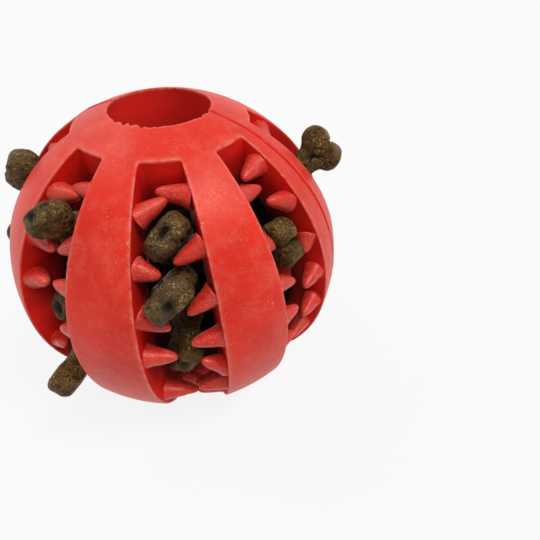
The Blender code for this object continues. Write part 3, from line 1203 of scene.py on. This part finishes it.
@dataclass(frozen=True)
class Treat:
    """One baked treat: a puffed bone with lobed ends, creases, pits and a crumbly crust."""

    node: str
    seed: int
    lodging: Lodging
    length: float = 15.5
    width: float = 10.4
    thickness: float = 5.6
    waist: float = 6.0
    blend: float = 1.6
    blend_share: float = 0.6
    crown: float = 0.35
    crown_reach: float = 2.4
    face_drop: float = 0.25
    rough: tuple[Ripple, ...] = (
        Ripple(0.3, 3.4, 0.0),
        Ripple(0.09, 1.1, 1.0),
        Ripple(0.05, 0.55, 2.0),
    )
    sway: Ripple = Ripple(0.5, 2.2, 4.0)
    tear: tuple[Ripple, ...] = (
        Ripple(0.6, 1.3, 5.0),
        Ripple(0.6, 1.3, 6.0),
        Ripple(0.6, 1.3, 7.0),
    )
    pits: int = 22
    seed_shift: float = 3.1
    feeler: float = 0.02
    fitting_rounds: int = 5

    @property
    def shape(self) -> TreatShape:
        """Bone where the lobes are seen or the treat is loose, and else block."""
        bone = self.lodging.loose or self.node in BONE_TREATS
        return TreatShape.BONE if bone else TreatShape.BLOCK

    @property
    def fit(self) -> TreatFit:
        """How the treat is fitted to its solid."""
        return self.lodging.value

    def own_axes(self, solid: bpy.types.Object) -> tuple[np.ndarray, np.ndarray, float]:
        """Middle, axes and size of the treat's solid.

        Args:
            solid: The treat's solid.

        Returns:
            The middle in metres, the axes of length, width and thickness as columns, and the share
            of the common treat's length.
        """
        spots = points_of(solid.data)
        middle = spots.mean(axis=0)
        _, axes = np.linalg.eigh(np.cov((spots - middle).T))
        axes = axes[:, ::-1]
        for i in range(2):
            largest = np.argmax(np.abs(axes[:, i]))
            axes[:, i] *= np.sign(axes[largest, i])
        axes[:, 2] = np.cross(axes[:, 0], axes[:, 1])
        span = (spots - middle) @ axes[:, 0]
        return middle, axes, (span.max() - span.min()) / (self.length * MM)

    def distance(self, points: np.ndarray) -> np.ndarray:
        """Distance of points from the treat's smooth surface.

        Args:
            points: Points in the treat's own millimetres.

        Returns:
            One distance for each point, below 0 inside.
        """
        x, y, z = np.abs(points).T
        radius, edge = self.shape.value.lobe, self.shape.value.edge
        along, across = self.length / 2 - radius, self.width / 2 - radius
        from_lobe = np.hypot(x - along, y - across)
        lobe = from_lobe - radius
        waist = np.maximum(x - along, y - self.waist / 2)
        nearness = np.clip(0.5 + 0.5 * (waist - lobe) / self.blend, 0.0, 1.0)
        drawn = self.blend * nearness * (1 - nearness) * self.blend_share
        side = waist * (1 - nearness) + lobe * nearness - drawn + edge
        crown = self.crown * hill(from_lobe, self.crown_reach)
        face = z - self.thickness / 2 - crown + self.face_drop + edge
        outside = np.hypot(np.maximum(side, 0.0), np.maximum(face, 0.0))
        return outside + np.minimum(np.maximum(side, face), 0.0) - edge

    def slope(self, points: np.ndarray) -> np.ndarray:
        """Outward direction of the smooth surface.

        Args:
            points: Points near the surface.

        Returns:
            A unit vector for each point.
        """
        slopes = []
        for step in np.eye(3) * self.feeler:
            rise = self.distance(points + step) - self.distance(points - step)
            slopes.append(rise / (2 * self.feeler))
        slope = np.column_stack(slopes)
        return slope / np.maximum(np.linalg.norm(slope, axis=1, keepdims=True), TINY)

    def crust(self, points: np.ndarray) -> tuple[np.ndarray, np.ndarray]:
        """Relief of the baked crust.

        Args:
            points: Points on the smooth surface.

        Returns:
            Height of the relief at each point, and how deep in a pit or crease the point is, from 0
            to 1.
        """
        chance = random.Random(self.seed)
        shift = self.seed * self.seed_shift
        relief = sum(ripple.at(points, shift) for ripple in self.rough) - self.fit.settle
        sway = self.sway.at(points, shift)
        tear = sway[:, None] + np.column_stack([ripple.at(points, shift) for ripple in self.tear])
        ground = Ground(points, sway, tear, self.length / 2)
        carving = Carving(np.zeros(len(points)), np.zeros(len(points)))
        marks = (Crease(), Dent(self.shape.value.dents), Fold())
        for end in (-1.0, 1.0):
            for mark in marks:
                carving.add(mark.cut(ground, end, chance), mark.sink)
        pit = Pit()
        for _ in range(self.pits):
            carving.add(pit.cut(ground, chance), pit.sink)
        return relief - carving.sunk, carving.hollow

    def knead(
        self, solid: bpy.types.Object, middle: np.ndarray, axes: np.ndarray, scale: float
    ) -> bpy.types.Object:
        """Make an even fine mesh of the solid, in the treat's own millimetres.

        Args:
            solid: The treat's solid.
            middle: Middle of the solid.
            axes: Axes of the solid as columns.
            scale: The treat's own millimetre in metres.

        Returns:
            The new object.
        """
        name = self.node + "_crust"
        mesh = solid.data.copy()
        mesh.name = name
        mesh.materials.clear()
        move_points(mesh, (points_of(mesh) - middle) @ axes / scale)
        piece = put_in_scene(name, mesh)
        remesh = piece.modifiers.new("dough", "REMESH")
        remesh.mode = "VOXEL"
        remesh.voxel_size = self.fit.voxel
        graph = bpy.context.evaluated_depsgraph_get()
        dough = bpy.data.meshes.new_from_object(piece.evaluated_get(graph))
        piece.modifiers.clear()
        piece.data = dough
        bpy.data.meshes.remove(mesh)
        dough.name = name
        return piece

    def build(self, solid: bpy.types.Object) -> bpy.types.Object:
        """Make the treat as one object in its solid's place.

        Args:
            solid: The treat's solid.

        Returns:
            The new object.
        """
        middle, axes, size = self.own_axes(solid)
        piece = self.knead(solid, middle, axes, size * MM)
        points = points_of(piece.data)
        for _ in range(self.fitting_rounds):
            points = points - self.slope(points) * self.distance(points)[:, None]
        relief, hollow = self.crust(points)
        points = points + self.slope(points) * relief[:, None]
        fit = np.array([self.fit.spread, self.fit.spread, self.fit.press]) * (size * MM)
        move_points(piece.data, (points * fit) @ axes.T + middle)
        # The hollow value sets the painted shade in pits, creases and dents.
        keep_values(piece.data, "hollow", hollow)
        piece.data.shade_smooth()
        piece.data.update()
        LOG.info("%s: %d faces", piece.name, len(piece.data.polygons))
        return piece

    def dress(self, piece: bpy.types.Object, material: bpy.types.Material) -> None:
        """Give the treat its crust and put it in place of its solid.

        Args:
            piece: The treat.
            material: Its crust.
        """
        piece.data.materials.append(material)
        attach(piece, self.node)
        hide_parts(self.node)


@dataclass(frozen=True)
class Cloud:
    """A cloudy pattern of a finish.

    Size is the width of its largest clouds, detail and rough are how fine it is, and it shows from
    its value low, where its share is 0, to its value high, where its share is 1.
    """

    size: float
    detail: float
    rough: float = 0.5
    low: float = 0.0
    high: float = 1.0


class NodeGraph:
    """A material's nodes, with sizes of patterns in millimetres."""

    def __init__(self, name: str) -> None:
        """Start a material with a Principled shader.

        Args:
            name: Name of the material.
        """
        self.material = bpy.data.materials.new(name)
        self.material.use_nodes = True
        self.tree = self.material.node_tree
        self.nodes, self.links = self.tree.nodes, self.tree.links
        self.shader = self.nodes["Principled BSDF"]
        self.places = self.nodes.new("ShaderNodeTexCoord").outputs["Object"]

    def noise(self, cloud: Cloud) -> Socket:
        """Make a cloudy pattern.

        Args:
            cloud: The pattern's size and fineness.

        Returns:
            The pattern's value, about 0.5 on average.
        """
        node = self.nodes.new("ShaderNodeTexNoise")
        node.inputs["Scale"].default_value = 1.0 / (cloud.size * MM)
        node.inputs["Detail"].default_value = cloud.detail
        node.inputs["Roughness"].default_value = cloud.rough
        self.links.new(self.places, node.inputs["Vector"])
        return node.outputs["Fac"]

    def shown(self, cloud: Cloud) -> Socket:
        """Share of a cloudy pattern that shows, from 0 to 1."""
        return self.band(self.noise(cloud), cloud.low, cloud.high)

    def cells(self, size: float) -> bpy.types.Node:
        """Make scattered cells, each with its own random colour.

        Args:
            size: Width of a cell.

        Returns:
            The node, with the cells' colours and the distances from their middles.
        """
        node = self.nodes.new("ShaderNodeTexVoronoi")
        node.inputs["Scale"].default_value = 1.0 / (size * MM)
        self.links.new(self.places, node.inputs["Vector"])
        return node

    def value(self, name: str) -> Socket:
        """Read a value kept on the piece's points.

        Args:
            name: Name of the value.

        Returns:
            The value's socket.
        """
        node = self.nodes.new("ShaderNodeAttribute")
        node.attribute_name = name
        return node.outputs["Fac"]

    def band(self, source: Socket, low: float, high: float) -> Socket:
        """A soft step of a value: 0 below low and 1 above high."""
        return self.span(source, low, high, 0.0, 1.0)

    def span(self, source: Socket, low: float, high: float, start: float, end: float) -> Socket:
        """Spread a value anew.

        Args:
            source: The value.
            low: Where the spread starts.
            high: Where the spread ends.
            start: What the value becomes at low and below.
            end: What the value becomes at high and above.

        Returns:
            The new value.
        """
        node = self.nodes.new("ShaderNodeMapRange")
        node.inputs["From Min"].default_value = low
        node.inputs["From Max"].default_value = high
        node.inputs["To Min"].default_value = start
        node.inputs["To Max"].default_value = end
        self.links.new(source, node.inputs["Value"])
        return node.outputs["Result"]

    def join(self, way: Joining, first: Socket, second: Socket | float) -> Socket:
        """Join two values.

        Args:
            way: How they are joined.
            first: The first value.
            second: The second value, or a number.

        Returns:
            The joined value, kept between 0 and 1.
        """
        node = self.nodes.new("ShaderNodeMath")
        node.operation = way.value
        node.use_clamp = True
        self.links.new(first, node.inputs[0])
        if isinstance(second, float):
            node.inputs[1].default_value = second
        else:
            self.links.new(second, node.inputs[1])
        return node.outputs["Value"]

    def times(self, first: Socket, second: Socket | float) -> Socket:
        """A value times another."""
        return self.join(Joining.TIMES, first, second)

    def plus(self, first: Socket, second: Socket | float) -> Socket:
        """A value and another added, to 1 at most."""
        return self.join(Joining.PLUS, first, second)

    def less(self, first: Socket, second: Socket | float) -> Socket:
        """A value less another, and 0 at least."""
        return self.join(Joining.LESS, first, second)

    def ramp(self, source: Socket, stops: list[tuple[float, Colour]]) -> Socket:
        """Spread colours along a value.

        Args:
            source: The value.
            stops: Places along the value, with their colours.

        Returns:
            The colour.
        """
        node = self.nodes.new("ShaderNodeValToRGB")
        elements = node.color_ramp.elements
        while len(elements) < len(stops):
            elements.new(1.0)
        for element, (place, colour) in zip(elements, stops):
            element.position = place
            element.color = (*colour, 1.0)
        self.links.new(source, node.inputs["Fac"])
        return node.outputs["Color"]

    def cover(self, under: Socket, colour: Colour, share: Socket) -> Socket:
        """Lay a colour over another.

        Args:
            under: The colour below.
            colour: The colour above.
            share: Share of the colour above.

        Returns:
            The mixed colour.
        """
        node = self.nodes.new("ShaderNodeMix")
        node.data_type = "RGBA"
        self.links.new(share, node.inputs["Factor"])
        colours = [socket for socket in node.inputs if socket.type == "RGBA"]
        self.links.new(under, colours[0])
        colours[1].default_value = (*colour, 1.0)
        return [socket for socket in node.outputs if socket.type == "RGBA"][0]

    def bump(self, height: Socket, depth: float, under: Socket | None = None) -> Socket:
        """Lay fine relief on the surface.

        Args:
            height: Height of the relief, from 0 to 1.
            depth: How deep the relief is.
            under: Relief that it lies on.

        Returns:
            The surface's direction.
        """
        node = self.nodes.new("ShaderNodeBump")
        node.inputs["Strength"].default_value = 1.0
        node.inputs["Distance"].default_value = depth * MM
        self.links.new(height, node.inputs["Height"])
        if under is not None:
            self.links.new(under, node.inputs["Normal"])
        return node.outputs["Normal"]

    def set(self, **values: float | Colour) -> None:
        """Set the shader's own sockets.

        Args:
            values: A number or a colour for each socket, whose name has underscores for spaces.
        """
        for name, value in values.items():
            socket = self.shader.inputs[name.replace("_", " ")]
            socket.default_value = (*value, 1.0) if isinstance(value, tuple) else value

    def feed(self, name: str, source: Socket) -> None:
        """Link a socket of the shader."""
        self.links.new(source, self.shader.inputs[name])


@dataclass(frozen=True)
class RubberFinish:
    """Satin red moulded rubber with frosty dust, worn edges and a few crumbs, and painted highlight,
    sheen and sparkle.
    """

    name: str = "red_rubber_skin"
    deep: Colour = (0.60, 0.013, 0.006)
    fresh: Colour = (0.79, 0.024, 0.008)
    tooth: Colour = (0.55, 0.011, 0.006)
    # Pale: dusty film, worn edges that are also painted highlight, and painted sheen on the teeth.
    pale: Colour = (0.82, 0.20, 0.14)
    dust: Colour = (0.80, 0.36, 0.27)
    dark: Colour = (0.16, 0.010, 0.008)
    crumb: Colour = (0.74, 0.34, 0.10)
    clouds: Cloud = Cloud(17.0, 5.0, 0.6, 0.3, 0.68)
    scuffs_and_edge_highlight: Cloud = Cloud(1.3, 4.0, 0.5, 0.26, 0.62)
    film: Cloud = Cloud(5.0, 6.0, 0.7, 0.48, 0.80)
    # Pale on the teeth: partly bloom, partly painted sheen.
    tooth_bloom_and_painted_sheen: Cloud = Cloud(0.9, 4.0, 0.65, 0.35, 0.75)
    patches: Cloud = Cloud(6.0, 2.0, 0.5, 0.40, 0.66)
    specks: Cloud = Cloud(0.26, 1.0, 0.5, 0.62, 0.76)
    grime: Cloud = Cloud(0.5, 1.0, 0.5, 0.75, 0.80)
    edge_crumbs: Cloud = Cloud(0.7, 2.0, 0.5, 0.66, 0.72)
    strewn_crumbs: Cloud = Cloud(0.45, 2.0, 0.5, 0.60, 0.66)
    grain: Cloud = Cloud(0.42, 3.0, 0.6)
    swell: Cloud = Cloud(3.2, 2.0)
    frosting: Cloud = Cloud(0.22, 2.0)
    scuff_and_edge_highlight_share: float = 0.8
    tooth_share: float = 0.7
    film_share: float = 0.4
    tooth_bloom_and_painted_sheen_share: float = 0.12
    speck_share: float = 0.42
    tooth_dust_and_sparkle_share: float = 0.3
    grime_share: float = 0.7
    stray_pitch: float = 2.6
    stray_rarity: tuple[float, float] = (0.80, 0.81)
    stray_size: tuple[float, float] = (0.05, 0.10)
    strewn_edge: tuple[float, float] = (0.25, 0.5)
    film_dulling: float = 0.6
    satin: tuple[float, float, float, float] = (0.3, 1.0, 0.35, 0.62)
    tooth_gloss: float = 0.15
    swell_depth: float = 0.07
    grain_depth: float = 0.03
    frosting_depth: float = 0.06
    crumb_depth: float = 0.12

    def lay_film(self, graph: NodeGraph, frost: Socket) -> Socket:
        """Share of the pale film on handled rubber, with the bloom and painted sheen on the teeth.
        """
        tooth_bloom_and_painted_sheen = graph.times(frost, graph.times(graph.shown(self.tooth_bloom_and_painted_sheen), self.tooth_bloom_and_painted_sheen_share))
        return graph.plus(graph.times(graph.shown(self.film), self.film_share), tooth_bloom_and_painted_sheen)

    def lay_crumbs(self, graph: NodeGraph, frost: Socket, wear: Socket) -> Socket:
        """Make the crumbs: stray ones, those on worn edges and those strewn round the treats.

        Args:
            graph: Nodes of the finish.
            frost: 1 on the teeth and else 0.
            wear: How worn the rubber is.

        Returns:
            The crumbs' share.
        """
        cells = graph.cells(self.stray_pitch)
        rare = graph.band(cells.outputs["Color"], *self.stray_rarity)
        spot = graph.span(cells.outputs["Distance"], *self.stray_size, 1.0, 0.0)
        on_edges = graph.times(wear, graph.shown(self.edge_crumbs))
        beside_teeth = graph.less(graph.value("strewn"), frost)
        strewn = graph.times(beside_teeth, graph.shown(self.strewn_crumbs))
        crumbs = graph.plus(graph.times(rare, spot), on_edges)
        return graph.plus(crumbs, graph.band(strewn, *self.strewn_edge))

    def lay_dust(self, graph: NodeGraph, frost: Socket) -> Socket:
        """Make the dust: specks scattered in patches, and more of them on the teeth, partly dust,
        partly painted sparkle.

        Args:
            graph: Nodes of the finish.
            frost: 1 on the teeth and else 0.

        Returns:
            The dust's share.
        """
        specks = graph.shown(self.specks)
        scattered = graph.times(graph.shown(self.patches), specks)
        # Specks on the teeth: partly dust, partly painted sparkle.
        tooth_dust_and_sparkle = graph.times(graph.times(frost, specks), self.tooth_dust_and_sparkle_share)
        return graph.plus(graph.times(scattered, self.speck_share), tooth_dust_and_sparkle)

    def material(self) -> bpy.types.Material:
        """Make the rubber as a node material.

        Returns:
            The new material.
        """
        graph = NodeGraph(self.name)
        frost, wear = graph.value("frost"), graph.value("wear")
        film = self.lay_film(graph, frost)
        crumbs = self.lay_crumbs(graph, frost, wear)
        stops = [(self.clouds.low, self.deep), (self.clouds.high, self.fresh)]
        colour = graph.ramp(graph.noise(self.clouds), stops)
        # Pale on worn edges: partly wear, partly painted edge highlight.
        scuffed_and_edge_lit = graph.times(wear, graph.shown(self.scuffs_and_edge_highlight))
        colour = graph.cover(colour, self.pale, graph.times(scuffed_and_edge_lit, self.scuff_and_edge_highlight_share))
        colour = graph.cover(colour, self.tooth, graph.times(frost, self.tooth_share))
        colour = graph.cover(colour, self.pale, film)
        colour = graph.cover(colour, self.dust, self.lay_dust(graph, frost))
        grime = graph.times(graph.shown(self.grime), self.grime_share)
        colour = graph.cover(colour, self.dark, grime)
        graph.feed("Base Color", graph.cover(colour, self.crumb, crumbs))
        grain = graph.noise(self.grain)
        haze = graph.plus(graph.times(film, self.film_dulling), grain)
        gloss = graph.times(frost, self.tooth_gloss)
        graph.feed("Roughness", graph.less(graph.span(haze, *self.satin), gloss))
        relief = graph.bump(graph.noise(self.swell), self.swell_depth)
        relief = graph.bump(grain, self.grain_depth, relief)
        frosting = graph.times(graph.noise(self.frosting), frost)
        relief = graph.bump(frosting, self.frosting_depth, relief)
        graph.feed("Normal", graph.bump(crumbs, self.crumb_depth, relief))
        graph.set(Sheen_Weight=0.05, Sheen_Roughness=0.4, Sheen_Tint=(1.0, 0.7, 0.66), IOR=1.43)
        graph.set(Specular_Tint=(1.0, 0.8, 0.68))
        return graph.material


@dataclass(frozen=True)
class SlotFinish:
    """The same rubber inside: deep red, duller and flecked with meal, with painted light and shade
    by depth.
    """

    name: str = "slot_wall_rubber"
    # Painted light: a lighter red at the top of the mouth's wall.
    mouth: Colour = (0.83, 0.024, 0.018)
    wall: Colour = (0.78, 0.014, 0.008)
    streak: Colour = (0.48, 0.007, 0.005)
    # Painted shade: near black deep in the slots and in the chamber.
    chamber: Colour = (0.030, 0.0035, 0.0025)
    meal: Colour = (0.30, 0.10, 0.035)
    streaks: Cloud = Cloud(7.0, 4.0, 0.6, 0.32, 0.66)
    mealy: Cloud = Cloud(0.3, 1.0, 0.5, 0.66, 0.78)
    grain: Cloud = Cloud(0.5, 3.0, 0.6, 0.3, 0.7)
    swell: Cloud = Cloud(2.6, 2.0)
    meal_share: float = 0.4
    painted_light_depths: tuple[float, float] = (0.2, 0.3)
    painted_shade_depths: tuple[float, float] = (0.40, 0.88)
    roughness: tuple[float, float] = (0.5, 0.68)
    swell_depth: float = 0.08
    grain_depth: float = 0.03

    def material(self) -> bpy.types.Material:
        """Make the inner rubber as a node material.

        Returns:
            The new material.
        """
        graph = NodeGraph(self.name)
        stops = [(self.streaks.low, self.streak), (self.streaks.high, self.wall)]
        colour = graph.ramp(graph.noise(self.streaks), stops)
        depth = graph.value("depth")
        mealy = graph.times(graph.shown(self.mealy), self.meal_share)
        colour = graph.cover(colour, self.meal, mealy)
        # Painted light where the depth is least, and painted shade where it is greatest.
        colour = graph.cover(colour, self.mouth, graph.span(depth, *self.painted_light_depths, 1.0, 0.0))
        colour = graph.cover(colour, self.chamber, graph.band(depth, *self.painted_shade_depths))
        graph.feed("Base Color", colour)
        grain = graph.noise(self.grain)
        dull = graph.span(grain, self.grain.low, self.grain.high, *self.roughness)
        graph.feed("Roughness", dull)
        relief = graph.bump(graph.noise(self.swell), self.swell_depth)
        graph.feed("Normal", graph.bump(grain, self.grain_depth, relief))
        graph.set(IOR=1.4, Specular_IOR_Level=0.16)
        return graph.material


@dataclass(frozen=True)
class BiscuitFinish:
    """Dark baked crust with olive and golden grains, painted glints and shade, half glossy where it
    is smooth.
    """

    name: str = "biscuit_crust"
    burnt: Colour = (0.030, 0.014, 0.004)
    brown: Colour = (0.084, 0.042, 0.012)
    olive: Colour = (0.172, 0.090, 0.023)
    ashen: Colour = (0.105, 0.072, 0.044)
    # Golden: partly grain in the crust, partly painted glints.
    golden_grain_and_glint: Colour = (0.80, 0.48, 0.13)
    # Painted glint: bright specks standing for highlights.
    painted_glint: Colour = (0.88, 0.70, 0.40)
    # Painted shade: near black in pits, creases, dents and pores.
    pit: Colour = (0.005, 0.004, 0.003)
    dough: Cloud = Cloud(1.9, 7.0, 0.72, 0.34, 0.66)
    ash: Cloud = Cloud(13.0, 2.0, 0.5, 0.47, 0.64)
    grains: Cloud = Cloud(0.34, 3.0, 0.6, 0.52, 0.72)
    patches: Cloud = Cloud(3.4, 3.0, 0.5, 0.42, 0.66)
    painted_glint_sparks: Cloud = Cloud(0.3, 1.0, 0.5, 0.68, 0.75)
    pores: Cloud = Cloud(0.7, 2.0, 0.5, 0.60, 0.70)
    gloss: Cloud = Cloud(1.2, 4.0, 0.5, 0.35, 0.65)
    lumps: Cloud = Cloud(0.9, 4.0, 0.65)
    ash_share: float = 0.4
    grain_and_glint_share: float = 0.62
    painted_glint_share: float = 0.9
    pore_painted_shade_share: float = 0.75
    pore_drop: float = 0.35
    painted_hollow_shade_edge: tuple[float, float] = (0.2, 0.75)
    grain_depth: float = 0.16
    lump_depth: float = 0.36
    smooth: float = 0.2
    rough: float = 0.42
    shine: float = 0.12

    def material(self) -> bpy.types.Material:
        """Make the crust as a node material.

        Returns:
            The new material.
        """
        graph = NodeGraph(self.name)
        middle = (self.dough.low + self.dough.high) / 2
        stops = [(self.dough.low, self.burnt), (middle, self.brown), (self.dough.high, self.olive)]
        colour = graph.ramp(graph.noise(self.dough), stops)
        ash = graph.times(graph.shown(self.ash), self.ash_share)
        colour = graph.cover(colour, self.ashen, ash)
        # Golden grains, partly painted glints, and painted glint sparks.
        fine = graph.noise(self.grains)
        patches = graph.shown(self.patches)
        grains = graph.times(patches, graph.band(fine, self.grains.low, self.grains.high))
        colour = graph.cover(colour, self.golden_grain_and_glint, graph.times(grains, self.grain_and_glint_share))
        painted_glint_sparks = graph.times(patches, graph.shown(self.painted_glint_sparks))
        colour = graph.cover(colour, self.painted_glint, graph.times(painted_glint_sparks, self.painted_glint_share))
        # Painted shade in the pores and, below, in the treat's hollows.
        pores = graph.shown(self.pores)
        colour = graph.cover(colour, self.pit, graph.times(pores, self.pore_painted_shade_share))
        hollow = graph.band(graph.value("hollow"), *self.painted_hollow_shade_edge)
        graph.feed("Base Color", graph.cover(colour, self.pit, hollow))
        gloss = (self.gloss.low, self.gloss.high, self.smooth, self.rough)
        graph.feed("Roughness", graph.span(graph.noise(self.gloss), *gloss))
        lumps = graph.less(graph.noise(self.lumps), graph.times(pores, self.pore_drop))
        relief = graph.bump(lumps, self.lump_depth)
        graph.feed("Normal", graph.bump(fine, self.grain_depth, relief))
        graph.set(IOR=1.45, Specular_IOR_Level=self.shine, Specular_Tint=(1.0, 0.9, 0.7))
        return graph.material


class Crust(Enum):
    """The two crusts: as baked, and a dull copy darkened by painted shade for the treats in the
    chamber.
    """

    BAKED = BiscuitFinish()
    PAINTED_SHADE = BiscuitFinish(
        "painted_shade_crust",
        burnt=(0.006, 0.004, 0.002),
        brown=(0.009, 0.006, 0.002),
        olive=(0.020, 0.013, 0.005),
        ashen=(0.016, 0.011, 0.007),
        golden_grain_and_glint=(0.17, 0.10, 0.03),
        painted_glint=(0.26, 0.18, 0.09),
        smooth=0.6,
        rough=0.8,
        shine=0.01,
    )


@dataclass(frozen=True)
class FloorFinish:
    """Plain pale paper, part of whose white is its own where it is seen, to keep shadows light."""

    name: str = "pale_paper"
    light: Colour = (0.66, 0.66, 0.66)
    shade: Colour = (0.63, 0.63, 0.63)
    paper: Cloud = Cloud(40.0, 2.0, 0.5, 0.3, 0.7)
    own_white: float = 0.86

    def material(self) -> bpy.types.Material:
        """Make the floor's paper as a node material.

        Returns:
            The new material.
        """
        graph = NodeGraph(self.name)
        stops = [(self.paper.low, self.shade), (self.paper.high, self.light)]
        graph.feed("Base Color", graph.ramp(graph.noise(self.paper), stops))
        graph.set(Roughness=0.9, Specular_IOR_Level=0.1)
        white = graph.nodes.new("ShaderNodeEmission")
        mix = graph.nodes.new("ShaderNodeMixShader")
        share = graph.times(plainly_seen(graph.tree), self.own_white)
        graph.links.new(share, mix.inputs["Fac"])
        graph.links.new(graph.shader.outputs["BSDF"], mix.inputs[1])
        graph.links.new(white.outputs["Emission"], mix.inputs[2])
        surface = graph.nodes["Material Output"].inputs["Surface"]
        graph.links.new(mix.outputs["Shader"], surface)
        return graph.material


@dataclass(frozen=True)
class PhotoCamera:
    """Camera at the photograph's place, for a square image."""

    name: str = "photo_camera"
    place: tuple[float, float, float] = (7.22, -76.36, 96.0)
    right: tuple[float, float, float] = (0.98622, -0.16525, 0.00813)
    up: tuple[float, float, float] = (0.10626, 0.67025, 0.73449)
    lens: float = 27.0
    sensor: float = 36.0
    nearest: float = 1.0
    farthest: float = 20000.0

    def build(self) -> bpy.types.Object:
        """Make the camera and use it for the scene.

        Returns:
            The camera.
        """
        data = bpy.data.cameras.new(self.name)
        data.lens = self.lens
        data.sensor_width = self.sensor
        data.clip_start = self.nearest * MM
        data.clip_end = self.farthest * MM
        camera = put_in_scene(self.name, data)
        right = Vector(self.right).normalized()
        back = right.cross(Vector(self.up)).normalized()
        turn = Matrix((right, back.cross(right), back)).transposed().to_4x4()
        camera.matrix_world = Matrix.Translation(Vector(self.place) * MM) @ turn
        bpy.context.scene.camera = camera
        return camera


@dataclass(frozen=True)
class Lamp:
    """A broad soft lamp far from the ball, given by the direction that it shines from."""

    name: str
    longitude: float
    latitude: float
    spread: float
    strength: float

    def build(self) -> bpy.types.Object:
        """Make the lamp, aimed at the ball.

        Returns:
            The lamp.
        """
        data = bpy.data.lights.new(self.name, "SUN")
        data.angle = math.radians(self.spread)
        data.energy = self.strength
        lamp = put_in_scene(self.name, data)
        source = heading(self.longitude, self.latitude)
        turn = source.to_track_quat("Z", "Y").to_matrix().to_4x4()
        lamp.matrix_world = Matrix.Translation(source) @ turn
        return lamp


@dataclass(frozen=True)
class Studio:
    """Pale floor, soft lamps and a white surround."""

    floor_radius: float = 3000.0
    floor_sides: int = 96
    floor_drop: float = 0.1
    surround: float = 0.22
    lamps: tuple[Lamp, ...] = (
        Lamp("key_lamp", 16.0, 65.0, 26.0, 1.26),
        Lamp("side_lamp", 66.0, 62.0, 14.0, 1.32),
        Lamp("back_lamp", 236.0, 50.0, 24.0, 0.5),
    )

    def build(self) -> None:
        """Make the floor, the lamps and the surround."""
        self.build_floor()
        for lamp in self.lamps:
            lamp.build()
        self.build_surround()

    def build_floor(self) -> None:
        """Make the floor, a hair below the ball's foot."""
        working = bmesh.new()
        bmesh.ops.create_circle(
            working, cap_ends=True, radius=self.floor_radius * MM, segments=self.floor_sides
        )
        mesh = bpy.data.meshes.new("floor")
        working.to_mesh(mesh)
        working.free()
        floor = put_in_scene("floor", mesh)
        floor.location.z = -self.floor_drop * MM
        mesh.materials.append(FloorFinish().material())

    def build_surround(self) -> None:
        """White world: plain white where it is seen or mirrored, and softer as light."""
        world = bpy.data.worlds.new("surround")
        bpy.context.scene.world = world
        world.use_nodes = True
        nodes, links = world.node_tree.nodes, world.node_tree.links
        strength = nodes.new("ShaderNodeMapRange")
        strength.inputs["To Min"].default_value = self.surround
        strength.inputs["To Max"].default_value = 1.0
        links.new(plainly_seen(world.node_tree), strength.inputs["Value"])
        background = nodes["Background"]
        background.inputs["Color"].default_value = (1.0, 1.0, 1.0, 1.0)
        links.new(strength.outputs["Result"], background.inputs["Strength"])


def main() -> None:
    """Load the frame, build and dress the pieces, and set up the studio."""
    logging.basicConfig(level=logging.INFO, format="%(name)s: %(message)s")
    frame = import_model()
    bpy.context.scene.view_settings.view_transform = "Standard"
    PhotoCamera().build()
    Studio().build()
    solids = frame["nodes"]
    lodgings = {name: Lodging.of(name) for name in sorted(solids) if name.startswith("treat")}
    lodged = [solids[name] for name, lodging in lodgings.items() if not lodging.loose]
    form, teeth = BallForm(), ToothForm()
    skin, inside = RubberFinish().material(), SlotFinish().material()
    for half in Half:
        shell = HalfShell(half, form, teeth)
        shell.dress(shell.build(solids[half.node], lodged), skin, inside)
    crusts = {crust: crust.value.material() for crust in Crust}
    for seed, (node, lodging) in enumerate(lodgings.items()):
        treat = Treat(node, seed, lodging)
        # Loose treats in the chamber take the crust darkened by painted shade.
        crust = crusts[Crust.PAINTED_SHADE if lodging.loose else Crust.BAKED]
        treat.dress(treat.build(solids[node]), crust)


if __name__ == "__main__":
    main()
